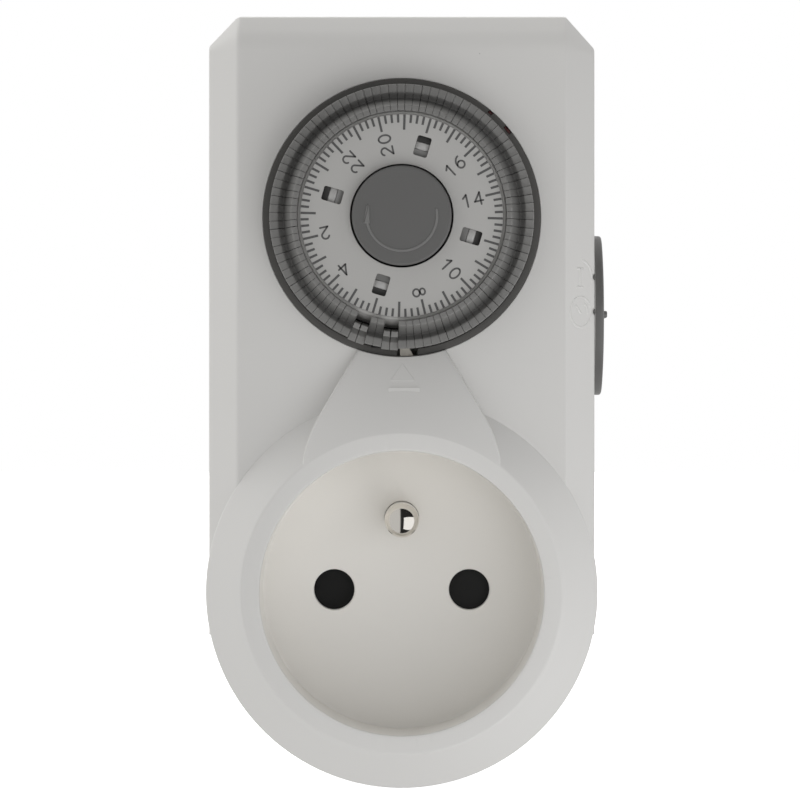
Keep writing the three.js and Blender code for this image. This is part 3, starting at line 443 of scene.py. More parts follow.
def moulded_texture():
    """Fine spark-eroded texture of a mould, with slow colour drift and flow clouds in the plastic."""
    group, given, result = effect(
        "moulded_texture",
        [("Colour", COLOUR, (0.6, 0.6, 0.58, 1)), ("Drift colour", COLOUR, (0.55, 0.55, 0.53, 1)),
         ("Drift scale", FLOAT, 40.0), ("Drift amount", FLOAT, 0.24),
         ("Grain scale", FLOAT, 3500.0), ("Grain height", FLOAT, 0.15),
         ("Roughness", FLOAT, 0.45), ("Roughness spread", FLOAT, 0.1)],
        [("Colour", COLOUR), ("Roughness", FLOAT), ("Normal", VECTOR)])
    place = own_place(group)
    clouds = noise(group, place, given["Drift scale"], 4)
    grain = noise(group, place, given["Grain scale"], 3)
    drift = number(group, "MULTIPLY", clouds, given["Drift amount"])
    feed(group, tinted(group, drift, given["Colour"], given["Drift colour"]), result["Colour"])
    rough = number(group, "MULTIPLY_ADD", clouds, given["Roughness spread"], given["Roughness"])
    feed(group, rough, result["Roughness"])
    feed(group, relief(group, grain, given["Grain height"], GRAIN_DEPTH), result["Normal"])
    return group


def stray_specks():
    """Sparse pin-sized specks, such as carbon dots in pale plastic."""
    group, given, result = effect(
        "stray_specks",
        [("Colour", COLOUR, (0.6, 0.6, 0.58, 1)), ("Speck colour", COLOUR, (0.2, 0.2, 0.19, 1)),
         ("Spacing scale", FLOAT, 120.0), ("Speck size", FLOAT, 0.05)],
        [("Colour", COLOUR)])
    cells = added(group, "TexVoronoi", {"Vector": own_place(group), "Scale": given["Spacing scale"]})
    within = number(group, "LESS_THAN", cells.outputs["Distance"], given["Speck size"])
    feed(group, tinted(group, within, given["Colour"], given["Speck colour"]), result["Colour"])
    return group


def handling_marks():
    """Hairline scratches in one direction, as gloss and relief."""
    group, given, result = effect(
        "handling_marks",
        [("Roughness", FLOAT, 0.2), ("Mark roughness", FLOAT, 0.4), ("Scale", FLOAT, 300.0),
         ("Stretch", VECTOR, (1.0, 12.0, 1.0)), ("Depth", FLOAT, 0.15)],
        [("Roughness", FLOAT), ("Normal", VECTOR)])
    pulled = vector(group, "MULTIPLY", own_place(group), given["Stretch"])[0]
    marks = noise(group, pulled, given["Scale"], 5)
    feed(group, between(group, marks, given["Roughness"], given["Mark roughness"]), result["Roughness"])
    feed(group, relief(group, marks, given["Depth"], MARK_DEPTH), result["Normal"])
    return group


def trough_shade():
    """Painted shade: the colour darkened in the trough of the tappets, at its own distance from the dial's
    axis.
    """
    group, given, result = effect(
        "trough_shade",
        [("Colour", COLOUR, (0.2, 0.2, 0.19, 1)), ("Trough radius", FLOAT, TROUGH_R * MM),
         ("Trough half width", FLOAT, TROUGH_HALF * MM), ("Darkest", FLOAT, 0.5)],
        [("Colour", COLOUR)])
    off_centre = vector(group, "SUBTRACT", own_place(group), (0, 0, DIAL_Y * MM))[0]
    off_axis = vector(group, "MULTIPLY", off_centre, (1, 0, 1))[0]
    radius = vector(group, "LENGTH", off_axis)["Value"]
    distance = number(group, "ABSOLUTE", number(group, "SUBTRACT", radius, given["Trough radius"]))
    share = soft_step(group, distance, 0.0, given["Trough half width"], given["Darkest"])
    shaded = added(group, "VectorMath", {"Scale": share, 0: given["Colour"]}, operation="SCALE")
    feed(group, shaded.outputs[0], result["Colour"])
    return group


MOULDED, SPECKS, MARKS, PAINTED_TROUGH_SHADE = moulded_texture(), stray_specks(), handling_marks(), trough_shade()


# Materials
def placed(tree, group, **values):
    """The group placed in a material with its own values and wires; underscores stand for spaces."""
    node = tree.nodes.new("ShaderNodeGroup")
    node.node_tree = group
    for label, given in values.items():
        feed(tree, given, node.inputs[label.replace("_", " ")])
    return node.outputs


def surface(name, **values):
    """A new material and its shader, with the values that are the same all over set on the shader."""
    material = bpy.data.materials.new(name)
    material.use_nodes = True
    tree = material.node_tree
    shader = tree.nodes["Principled BSDF"]
    for label, value in values.items():
        shader.inputs[label.replace("_", " ")].default_value = value
    return material, tree, shader


def grey(value, warm, red=0.0):
    """Linear colour of an sRGB grey level, warmer for warm above 0 and redder for red above 0."""
    linear = ((value / 255 + 0.055) / 1.055) ** 2.4
    return (linear * (1 + warm * 0.5), linear * (1 - red), linear * (1 - warm) * (1 - red), 1)


def plastic(name, level, warm, rough, grain=0.15, specks=None, trough=None, red=0.0):
    """Moulded plastic of that grey level, which drifts to a slightly darker one.

    It may have specks (grey level, size), or painted shade in the trough of the tappets, darkened to that
    share.
    """
    material, tree, shader = surface(name)
    darker = grey(level * 0.93, warm + 0.01, red)
    texture = placed(tree, MOULDED, Colour=grey(level, warm, red), Drift_colour=darker,
                     Grain_height=grain, Roughness=rough)
    colour = texture["Colour"]
    if specks:
        dots = placed(tree, SPECKS, Colour=colour, Speck_colour=grey(specks[0], warm), Speck_size=specks[1])
        colour = dots["Colour"]
    # Painted shade in the trough of the tappets
    if trough:
        colour = placed(tree, PAINTED_TROUGH_SHADE, Colour=colour, Darkest=trough)["Colour"]
    feed(tree, colour, shader.inputs["Base Color"])
    feed(tree, texture["Roughness"], shader.inputs["Roughness"])
    feed(tree, texture["Normal"], shader.inputs["Normal"])
    return material


def metal(name, colour, smooth, marked):
    """Bare or plated metal with hairlines that are rougher than the rest."""
    material, tree, shader = surface(name, Base_Color=(*colour, 1), Metallic=1.0)
    marks = placed(tree, MARKS, Roughness=smooth, Mark_roughness=marked)
    feed(tree, marks["Roughness"], shader.inputs["Roughness"])
    feed(tree, marks["Normal"], shader.inputs["Normal"])
    return material


# Name, grey level, warmth and roughness of each plastic; name, colour and roughnesses of each metal
SHELL = plastic("off_white_shell", 232, 0.015, 0.42, specks=(205, 0.012))
# The socket recess takes a lighter, slightly warmer copy of the shell plastic: the extra lightness is painted
# light bounced off the recess walls
RECESS_LIT_WHITE = plastic("off_white_recess_painted_light", 245, 0.035, 0.4, specks=(215, 0.01))
KNOB_GREY = plastic("dark_grey_knob", 109, 0.01, 0.42)
# The arrow is lighter than the knob: a painted highlight of the light its relief catches
ARROW_HIGHLIGHT_GREY = plastic("arrow_grey_painted_highlight", 132, 0.01, 0.3, grain=0.05)
# Tappet grey with painted shade in the trough; the pushed-out tappets take the same grey without it
TAPPET_GREY = plastic("grey_tappet", 132, 0.02, 0.34, grain=0.08, trough=0.62)
PUSHED_GREY = plastic("grey_pushed_tappet", 132, 0.02, 0.34, grain=0.08)
CUP_GREY = plastic("pale_glossy_cup", 222, 0.02, 0.2, grain=0.03)
LUG_RED = plastic("dark_red_lug", 84, 0.0, 0.3, red=0.8)
RING_GREY = plastic("olive_grey_ring", 92, 0.05, 0.4)
PLATE_GREY = plastic("light_grey_plate", 194, 0.02, 0.45, grain=0.1)
INK = plastic("dark_grey_ink", 98, 0.0, 0.5, grain=0.05)
PAD_GREY = plastic("grey_window_pad", 136, 0.01, 0.3, grain=0.05)
OUTER_PAD_GREY = plastic("dark_window_pad", 78, 0.01, 0.3, grain=0.05)
HOOK_GREY = plastic("glossy_grey_hook", 192, 0.01, 0.2, grain=0.03)
SELECTOR_GREY = plastic("grey_selector", 108, 0.02, 0.26)
# The pointer is white plastic; its darker cream tone is painted shade
POINTER_CREAM_SHADE = plastic("pointer_cream_painted_shade", 200, 0.1, 0.4)
BLACK = plastic("black_plastic", 20, 0.0, 0.3)
NATURAL = plastic("undyed_plastic", 225, 0.06, 0.4)
NICKEL = metal("polished_nickel", (0.86, 0.83, 0.78), 0.05, 0.13)
ZINC = metal("zinc_plated_steel", (0.62, 0.62, 0.62), 0.28, 0.45)
BRASS = metal("stamped_brass", (0.72, 0.55, 0.27), 0.25, 0.4)
COPPER = metal("stamped_copper", (0.72, 0.42, 0.28), 0.25, 0.4)


# Housing
def body_section(x, inset, clip):
    """Side profile of the housing at x, moved in by inset, with its top lowered by clip and bevelled."""
    top, face = BODY_TOP - inset - clip, BODY_FACE - inset
    radius = max(TOP_ROUND - inset, 0.9)
    low, back = -CHAMFER - 2.0, BODY_BACK - 8
    points = [(low, back), (top, back)]
    points += [(top - run * radius, face - drop * radius) for run, drop in TOP_STEPS]
    for k in range(6):
        angle = TOP_SLOPE * (1 - k / 5)
        points.append((top - radius * (TOP_REACH - math.sin(angle)), face - radius * (1 - math.cos(angle))))
    points.append((low, face))
    return [(x, y, z) for y, z in points]


def housing_block(inset=0.0):
    """The block of the housing: a loft across the width whose ends lean in by the chamfer."""
    half = BODY_HALF - inset
    lean = CHAMFER - inset * CORNER_SHRINK
    sections = []
    for side, crease, clip in ((-1, 1.0, 0.05), (1, 0.45, 0.13)):
        line = soften([(0, 0), (half - lean, 0, crease), (half, lean, 0.8), (half, lean + 3)], closed=False)
        rows = [body_section(side * x, inset + off, clip * off) for x, off in line[1:]]
        sections += rows if side > 0 else rows[::-1]
    return lofted(sections)


def socket_tower():
    """Round tower whose front slopes up to the socket's rim."""
    root = BODY_SPLIT - 8
    return turned(soften([
        (0, root), (TOWER, root), (TOWER, BODY_FACE, 0.5), (RIM, RIM_TOP, 0.6), (0, RIM_TOP),
    ], closed=False), ROUND)


def ramp_height(x, y):
    """Height of the ramp over the point (x, y): a shallow cone round the socket."""
    return RIM_TOP - 0.02 - max(0.0, math.hypot(x, y) - RIM) * RAMP_FALL


def ramp():
    """The ramp from dial to socket, with rounded side edges."""
    half_top, half_knee, half_foot, belly = 6.1, 11.4, 13.8, 2.2
    top, knee, foot, root = 33.7, 24.6, 16.9, 38
    rows, columns = 30, 24
    rounding = ((0.2, 0.08), (0.06, 0.24), (0.0, 0.45))  # in from the edge, down
    inset = 0.45

    def side(y):
        """Half width of the ramp at height y."""
        if y > knee:
            return half_knee + (half_top - half_knee) * (y - knee) / (top - knee)
        t = (knee - y) / (knee - foot)
        return half_knee * (1 - t) ** 2 + (half_knee + belly) * 2 * t * (1 - t) + half_foot * t ** 2

    arc_radius = RIM - 0.2
    arc_half = math.asin((side(foot) - inset) / arc_radius)
    surface_rows = []
    for j in range(rows + 1):
        t = j / rows
        y_side = arc_radius * math.cos(arc_half) * (1 - t) + top * t
        x_side = side(y_side) - inset
        row = []
        for i in range(columns + 1):
            u = 2 * i / columns - 1
            arc = (arc_radius * math.sin(arc_half * u), arc_radius * math.cos(arc_half * u))
            crown = arc[1] - arc_radius * math.cos(arc_half)
            x = x_side * (arc[0] / (arc_radius * math.sin(arc_half)) * (1 - t) + u * t)
            y = y_side + crown * (1 - t)
            row.append((x, y, ramp_height(x, y)))
        right = [(x_side + inset - off, y_side, ramp_height(x_side, y_side) - drop) for off, drop in rounding]
        left = [(-x, y, z) for x, y, z in right[::-1]]
        surface_rows.append(left + row + right)
    bm = bmesh.new()
    grid = [[bm.verts.new(spot) for spot in row] for row in surface_rows]
    base = [[bm.verts.new((spot[0], spot[1], root)) for spot in row] for row in surface_rows]
    wide, tall = len(grid[0]) - 1, len(grid) - 1
    for sheet in (grid, base):
        for j in range(tall):
            for i in range(wide):
                bm.faces.new((sheet[j][i], sheet[j][i + 1], sheet[j + 1][i + 1], sheet[j + 1][i]))
    for i in range(wide):
        for j in (0, tall):
            bm.faces.new((grid[j][i], grid[j][i + 1], base[j][i + 1], base[j][i]))
    for j in range(tall):
        for i in (0, wide):
            bm.faces.new((grid[j][i], grid[j + 1][i], base[j + 1][i], base[j][i]))
    bmesh.ops.recalc_face_normals(bm, faces=bm.faces)
    return bm


def flared_hole(radius, low, mouth, flare, centre, segments=64):
    """Cutter for a round hole whose mouth is rounded off by flare."""
    line = [(0, low), (radius, low), (radius, mouth - flare)]
    line += [(radius + flare * (1 - math.cos(a)), mouth - flare + flare * math.sin(a))
             for a in (math.pi / 2 * k / 4 for k in range(1, 5))]
    line += [(radius + flare, CLEAR), (0, CLEAR)]
    return turned(line, segments, centre)


def make_front_shell():
    """Front half of the housing with socket recess, dial opening and index notches."""
    recess = turned(soften([
        (0, RECESS_FLOOR), (RECESS, RECESS_FLOOR, 0.35), (RECESS, RIM_TOP - 0.45),
        (RECESS + 0.12, RIM_TOP - 0.15), (RECESS + 0.45, RIM_TOP), (RECESS + 0.45, CLEAR), (0, CLEAR),
    ], closed=False), ROUND)
    tower_hollow = [(0, 0), (TOWER - WALL, 0), (TOWER - WALL, 39.8), (21.8, 43.2), (0, 43.2)]
    socket_wall, shaft_bore, notch, notch_x = 21.6, 2.9, 0.5, BODY_HALF + 0.28
    shell = carved(
        housing_block(),
        (JOIN, socket_tower()),
        (CUT, housing_block(WALL)),
        (CUT, turned(tower_hollow, 64)),
        (JOIN, peg(socket_wall, 29, 44, 64)),
        (JOIN, ramp()),
        (CUT, slab(-60, 60, -60, 120, -20, BODY_SPLIT + 0.1)),
        (CUT, recess),
        (CUT, flared_hole(OPENING, 15, BODY_FACE, 0.12, (0, DIAL_Y), ROUND)),
        (CUT, moved(peg(shaft_bore, 20, 40), TO_THE_RIGHT)),
        *[(CUT, peg(notch, 26, 50, 24, (notch_x, SELECTOR_Y + rise))) for rise in NOTCH_RISES],
        *[(CUT, flared_hole(HOLE, 20, RECESS_FLOOR, 0.25, (x, 0))) for x in (-PIN_X, PIN_X)],
        (CUT, flared_hole(PIN + 0.045, 20, RECESS_FLOOR, 0.07, (0, EARTH_Y))),
    )
    piece = finished_piece(
        "front_shell_body", shell, SHELL, "housing", ["front_shell"], sharp=28)
    # Faces of the recess get the lighter copy of the shell plastic, as painted light
    piece.data.materials.append(RECESS_LIT_WHITE)
    for face in piece.data.polygons:
        middle = FRONT_VIEW.inverted() @ face.center
        if math.hypot(middle.x, middle.y) < RECESS + 0.05 and RECESS_FLOOR - 0.1 < middle.z < RIM_TOP - 0.3:
            face.material_index = 1


def make_ramp_marks():
    """A faint triangle that points at the dial and a short bar under it, both lying on the ramp."""
    triangle = raised(
        soften([(0.1, 31.75, 0.1), (-1.62, 29.3, 0.15), (1.85, 29.3, 0.15)]), -0.4, 0.045, edge=0.04)
    for corner in triangle.verts:
        corner.co.z += ramp_height(corner.co.x, corner.co.y)
    # The bar is flatter than the ramp, so that its upper edge stands out
    bar_foot, bar_follows = 27.8, 0.45
    bar = raised(box_outline(-1.85, 2.55, bar_foot, 28.4, 0.12), -0.7, -0.01, edge=0.03)
    level = ramp_height(0.35, bar_foot)
    for corner in bar.verts:
        corner.co.z += level + (ramp_height(corner.co.x, corner.co.y) - level) * bar_follows
    finished_piece("ramp_marks", merged(triangle, bar), SHELL, "housing", (), sharp=50)


def housing_outline(inset):
    """Front view of the housing: clipped top corners, straight sides, round foot."""
    half, radius, top = BODY_HALF - inset, TOWER - inset, BODY_TOP - inset
    clip = CHAMFER - inset * CORNER_SHRINK
    start = math.acos(half / radius)
    line = [(half, top - clip), (half - clip, top), (clip - half, top), (-half, top - clip)]
    for k in range(97):
        angle = math.pi - start + (math.pi + 2 * start) * k / 96
        line.append((radius * math.cos(angle), radius * math.sin(angle)))
    return line


def make_rear_shell():
    """Rear half of the housing: a tray with posts, and the round plug boss with its grooves and holes."""
    boss = turned(soften([(0, 0), (18.5, 0, 1.2), (18.5, 19), (0, 19)], closed=False), 128)
    steps = [
        (CUT, raised(housing_outline(WALL), BODY_BACK + WALL, BODY_SPLIT + 1)),
        (JOIN, boss),
        (CUT, peg(15.6, 3, 25, 96)),
    ]
    for x, y, radius, top, bore in POSTS:
        steps += [(JOIN, peg(radius, 17.5, top, 32, (x, y))), (CUT, peg(bore, 19, 30, 32, (x, y)))]
    for side in (1, -1):
        groove, clip_seat, clip_hook = (sorted((side * near, side * 20)) for near in (16.9, 17.4, 14))
        steps += [(CUT, raised(box_outline(*groove, -2.8, 2.8, 0.5), -1, BODY_BACK)),
                  (CUT, slab(-2.3, 2.3, *clip_seat, -1, 13.3)),
                  (CUT, slab(-2.3, 2.3, *clip_hook, 11.9, 13.3))]
    for x, y, radius in ((-PIN_X, 0, 2.46), (PIN_X, 0, 2.46), (0, EARTH_Y, 3.16)):
        hole = [(0, -1), (radius + 0.25, -1), (radius + 0.25, 0), (radius, 0.25), (radius, 5), (0, 5)]
        steps.append((CUT, turned(hole, 48, (x, y))))
    screw_hole = [(0, 16), (3.2, 16), (3.2, 17), (2.9, 17.3), (2.9, 18.9), (1.55, 18.9), (1.55, 30), (0, 30)]
    steps += [(CUT, turned(screw_hole, 48, spot)) for spot in SCREWS]
    tray = carved(raised(housing_outline(0), BODY_BACK, BODY_SPLIT, foot=0.9, steps=4), *steps)
    finished_piece("rear_shell_body", tray, SHELL, "housing", ["rear_shell"], sharp=28)


def make_screws():
    """Pan head screws with a cross recess, each tightened to another angle."""
    for i, (x, y) in enumerate(SCREWS):
        screw = turned(soften([
            (0, 17.05), (2.6, 17.05, 0.7), (2.6, 18.8), (1.25, 18.8), (1.25, 28.75), (0, 30),
        ], closed=False), 48)
        cross = [raised(box_outline(-wide, wide, -tall, tall, 0.1), 16, 18.0)
                 for wide, tall in ((1.5, 0.3), (0.3, 1.5))]
        form = carved(screw, *[(CUT, moved(slot, turn_z(20 + 37 * i))) for slot in cross])
        moved(form, Matrix.Translation((x, y, 0)))
        finished_piece(f"screw_{i + 1}", form, ZINC, "housing", [f"rear_screw_{i + 1}"])


def make_plug():
    """Pins, earth sleeve and the two earth side clips."""
    dome = [(PIN * math.sin(a), PIN - PIN_LENGTH - PIN * math.cos(a))
            for a in (math.pi / 2 * k / 10 for k in range(11))]
    for name, x, top in (("live", PIN_X, 4.65), ("neutral", -PIN_X, 10.7)):
        collar_and_tail = [(PIN, 3.1), (3.4, 3.1), (3.4, 4.6), (1.6, 4.6), (1.6, top), (0, top)]
        pin = turned(dome + collar_and_tail, 64, (x, 0))
        finished_piece(f"pin_{name}", pin, NICKEL, "housing", [f"plug_pin_{name}"])
    sleeve = turned(soften([
        (2.5, 0.1, 0.15), (3.1, 0.1, 0.15), (3.1, 3.1), (3.9, 3.1), (3.9, 3.9), (3.1, 3.9),
        (3.1, 12.8), (2.5, 12.8)]), 64, (0, EARTH_Y))
    finished_piece("earth_sleeve", sleeve, BRASS, "housing", ["plug_earth_sleeve"])
    section = soften([
        (17.7, 1.0, 0.15), (18.1, 7.0, 6), (17.7, 12.2, 0.35), (13.5, 12.2, 0.15),
        (13.5, 13, 0.15), (18.5, 13, 0.35), (18.9, 7.0, 6), (18.5, 1.0, 0.15)])
    for name, side in (("top", 1), ("bottom", -1)):
        clip = lofted([[(x, side * y, z) for y, z in section] for x in (-2, -1.94, 1.94, 2)])
        finished_piece(
            f"side_clip_{name}", clip, NICKEL, "housing", [f"earth_clip_{name}"], edge=0.08)


def make_earth_pin():
    """Earth pin of the socket, a little flatter than a half sphere at its tip."""
    tip, cap = RECESS_FLOOR + 13.6, 2.05
    dome = [(PIN * math.cos(a), tip - cap + cap * math.sin(a))
            for a in (math.pi / 2 * k / 12 for k in range(12))]
    pin = turned([
        (0, 14.3), (1.6, 14.3), (1.6, 27.1), (3.6, 27.1), (3.6, 28.9), (PIN, 28.9), *dome, (0, tip),
    ], 96, (0, EARTH_Y))
    finished_piece("earth_pin", pin, NICKEL, "housing", ["socket_earth_pin"], sharp=40)


def make_shutter_spring():
    """Wire spring under the shutter, with a close turn at each end."""
    low, high, middle_z, radius, wire = -18.57, -4.03, 27.65, 0.85, 0.3
    turns, close_pitch, steps, sides = 8, 0.64, 24, 10
    open_pitch = (high - low - 2 * close_pitch) / (turns - 2)
    rings = []
    for k in range(turns * steps + 1):
        turn = k / steps
        close_turns = min(turn, 1) + max(turn - turns + 1, 0)
        y = low + close_pitch * close_turns + open_pitch * min(max(turn - 1, 0), turns - 2)
        a = 2 * math.pi * turn
        outward = Vector((math.cos(a), 0, math.sin(a)))
        along = Vector((-radius * math.sin(a), open_pitch / (2 * math.pi), radius * math.cos(a))).normalized()
        across = along.cross(outward)
        middle = Vector((0, y, middle_z)) + outward * radius
        rings.append([middle + wire * (math.cos(b) * outward + math.sin(b) * across)
                      for b in (2 * math.pi * j / sides for j in range(sides))])
    coil = lofted(rings)
    piece = finished_piece("closing_spring", coil, ZINC, "housing", ["shutter_spring"], sharp=60)
    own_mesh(piece)


# Dial
def tappet_form(seat, gap):
    """A tappet: tall inner tab, trough and outer ledge, drawn in its section and widened with the radius."""
    tab_top = LEDGE + 2.8
    section = soften([
        (18.15, LEDGE - 1.65), (18.28, LEDGE, 0.18), (17.1, LEDGE, 0.3), (16.4, LEDGE - 1.1, 0.7),
        (15.4, LEDGE + 2.0, 0.8), (15.2, tab_top, 0.25), (14.4, tab_top, 0.12), *seat])
    middle = Vector((sum(r for r, _ in section), sum(z for _, z in section))) / len(section)
    half_turn = math.tan(math.radians(TAPPET_TURN / 2))
    slices = []
    for side, inset in ((-1, FLANK), (-1, 0), (1, 0), (1, FLANK)):
        edge = []
        for r, z in section:
            pull = (middle - Vector((r, z))).normalized() * inset
            edge.append((r + pull.x, side * (r * half_turn - gap / 2 - FLANK + inset), z + pull.y))
        slices.append(edge)
    return lofted(slices)


def around_dial(degrees):
    """Carries a form drawn along the x axis to that angle of the dial."""
    return TO_THE_DIAL @ turn_z(degrees)


def seated_tappet(form, index):
    """A tappet at its place in the ring, counted clockwise from 18 o'clock."""
    return moved(form, around_dial(ANGLE_OF_18 - TAPPET_TURN * (index + 0.5)))


def window_seat(quarter):
    """Place of one of the plate's four windows."""
    return around_dial(ANGLE_OF_18 + 90 * quarter) @ Matrix.Translation((WINDOW_R, 0, 0))


def make_drum():
    """Cup of the dial with its sloping wall, and the 86 tappets that stand on it."""
    # Painted shade: the cup floor under the tappets is black to stand for the shade deep in their slots
    inner, outer = 15.41, 17  # the cup is black under the tappets and grey outside
    cup = turned(soften([
        (2.3, 32.05), (17.1, 32.05), (17.1, 43.15), (15.4, 43.15), (15.3, 44.1, 0.3), (15.0, 45.3, 0.5),
        (14.65, 46.15, 0.4), (14.3, 46.75, 0.25), (14.03, 46.9), (14.03, 46.4), (13.3, 46.4), (13.3, 34.05),
        (5, 34.05), (5, 39.75), (2.3, 39.75)]), ROUND, (0, DIAL_Y))
    piece = finished_piece("dial_cup", cup, CUP_GREY, "dial", ["dial_drum"], sharp=38)
    for finish in (BLACK, RING_GREY):
        piece.data.materials.append(finish)
    for face in piece.data.polygons:
        middle = FRONT_VIEW.inverted() @ face.center
        radius = math.hypot(middle.x, middle.y - DIAL_Y)
        if radius > inner:
            face.material_index = 2 if radius > outer else 1
    fixed = [seated_tappet(tappet_form([(15.4, 43.0), (17.0, 43.0)], TAPPET_GAPS[i % len(TAPPET_GAPS)]), i)
             for i in range(TAPPETS) if not FIRST_MOVING <= i < FIRST_MOVING + MOVING]
    finished_piece("fixed_tappets", merged(*fixed), TAPPET_GREY, "dial", (), sharp=38)


def make_hooks():
    """In each window of the plate: a barrel-shaped hook between two sloping pads."""
    half, foot, shoulder, rise = 1.3, 44.0, 46.0, 0.95
    arch = [(half * math.sin(a), shoulder + rise * math.cos(a)) for a in
            (math.pi * (k / 16 - 0.5) for k in range(17))]
    arch = [(-half, foot), *arch, (half, foot)]
    rows = ((-0.52, 0.16), (-0.48, 0.06), (-0.38, 0.0), (0.38, 0.0), (0.48, 0.06), (0.52, 0.16))
    hooks = [moved(lofted([[(r, t, z - drop) for t, z in arch] for r, drop in rows]), window_seat(quarter))
             for quarter in range(4)]
    finished_piece("window_hooks", merged(*hooks), HOOK_GREY, "dial", (), sharp=60)
    for name, side, tip, root, finish in (("inner_pads", -1, 46.9, 46.5, PAD_GREY),
                                          ("outer_pads", 1, 46.75, 46.1, OUTER_PAD_GREY)):
        near, far = side * 0.55, side * 1.7
        slope = [(far, foot), (far, root), (near, tip), (near, foot)]
        slices = [[(r, t, z) for r, z in slope] for t in (-1.2, -1.1, 1.1, 1.2)]
        pads = [moved(lofted(slices), window_seat(quarter)) for quarter in range(4)]
        finished_piece(name, merged(*pads), finish, "dial", (), sharp=50)


def make_moving_tappets():
    """Ten tappets round the pointer, each on its own hinge; four are pushed out."""
    hub = [(PIVOT_R + 0.75 * math.cos(a), PIVOT_Z + 0.75 * math.sin(a))
           for a in (math.pi * (1.1 + 0.6 * k / 6) for k in range(7))]
    pivot = Matrix.Translation((PIVOT_R, 0, PIVOT_Z))
    push = pivot @ Matrix.Rotation(math.radians(TILT), 4, "Y") @ pivot.inverted()
    for i in range(MOVING):
        form = tappet_form(hub, TAPPET_GAPS[(FIRST_MOVING + i) % len(TAPPET_GAPS)])
        finish = TAPPET_GREY
        if i in PUSHED_OUT:
            form, finish = moved(form, push), PUSHED_GREY
        name = f"tappet_{i + 1}"
        form = seated_tappet(form, FIRST_MOVING + i)
        finished_piece(f"moving_{name}", form, finish, name, [name], sharp=38)


def make_plate():
    """Light grey dial plate with four rounded windows."""
    disc = turned(soften([
        (7.12, PLATE_Z), (14, PLATE_Z), (14, PLATE_TOP, 0.12), (7.12, PLATE_TOP, 0.05)]), ROUND, (0, DIAL_Y))
    window = box_outline(-1.41, 1.41, -0.99, 0.99, 0.32, 5)
    cuts = [(CUT, moved(raised(window, 45, 49), window_seat(quarter))) for quarter in range(4)]
    finished_piece("number_plate", carved(disc, *cuts), PLATE_GREY, "dial", ["dial_plate"])


# Strokes of the numerals in a box one unit high: thin, round, as on an engraved scale
NUMERALS = {
    "0": [arc_line(0.34, 0.5, 0.3, 0.46, 90, 450, 28)],
    "1": [[(0.14, 0.72), (0.42, 0.97)], [(0.42, 0.97), (0.42, 0.03)]],
    "2": [arc_line(0.35, 0.69, 0.28, 0.27, 165, -28, 12) + [(0.06, 0.05)], [(0.06, 0.05), (0.66, 0.05)]],
    "4": [[(0.5, 0.03), (0.5, 0.97)], [(0.5, 0.95), (0.04, 0.3)], [(0.02, 0.3), (0.7, 0.3)]],
    "6": [arc_line(0.35, 0.31, 0.28, 0.28, -270, 90, 24), arc_line(0.6, 0.4, 0.53, 0.56, 178, 95, 10)],
    "8": [arc_line(0.35, 0.29, 0.29, 0.26, 90, 450, 24), arc_line(0.35, 0.77, 0.24, 0.2, -90, 270, 24)],
}


def make_scale():
    """Printed scale: a tick for each quarter hour and the even hours as numbers."""
    low, high = PLATE_TOP - 0.02, PLATE_TOP + 0.025
    hour_tick, tick, tick_end, tick_half = 11.82, 12.8, 13.92, 0.16
    ink = []
    for k in range(TAPPETS):
        outline = box_outline(tick if k % 4 else hour_tick, tick_end, -tick_half, tick_half, 0.03)
        ink.append(moved(raised(outline, low, high), around_dial(ANGLE_OF_18 - TAPPET_TURN * k)))
    height, pitch, last_digit, line_width, lag = 1.78, 1.72, 10.8, 0.25, 0.7
    for hour in (14, 16, 20, 22, 2, 4, 8, 10):
        angle = ANGLE_OF_18 - lag + (hour - 18) * 360 / 24
        for n, digit in enumerate(reversed(str(hour))):
            place = around_dial(angle) @ Matrix.Translation((last_digit - pitch * n, 0, 0))
            for line in NUMERALS[digit]:
                spots = [((x - 0.35) * height, (y - 0.5) * height) for x, y in line]
                ink.append(moved(stroke(spots, line_width, low, high, edge=0.01), place))
    finished_piece("printed_scale", merged(*ink), INK, "dial", (), sharp=50)


def make_knob():
    """Knob with a fine bead and an arrow head that show the way to turn it."""
    top, bead_radius = LEDGE + 3.2, 4.85
    knob = turned(soften([
        (0, 41.45), (5.1, 41.45), (5.1, 38.6), (6.86, 38.6), (6.86, top - 0.02, 0.35), (0, top + 0.04),
    ], closed=False, steps=5), 160, (0, DIAL_Y))
    finished_piece("turning_knob", knob, KNOB_GREY, "dial", ["dial_knob"], sharp=40)
    line = arc_line(0, 0, bead_radius, bead_radius, 9, -168, 60)
    bead = stroke(line, 0.34, top - 0.1, top + 0.12, edge=0.11)
    head = raised(soften([
        (-5.27, -1.1, 0.05), (-4.3, -1.12, 0.05), (-4.5, 1.42, 0.05), (-4.8, 1.45, 0.05),
    ]), top - 0.1, top + 0.14, edge=0.1)
    arrow = moved(merged(bead, head), TO_THE_DIAL)
    # Painted highlight: the arrow's material is lighter than the knob's
    finished_piece("knob_arrow", arrow, ARROW_HIGHLIGHT_GREY, "dial", (), sharp=40)


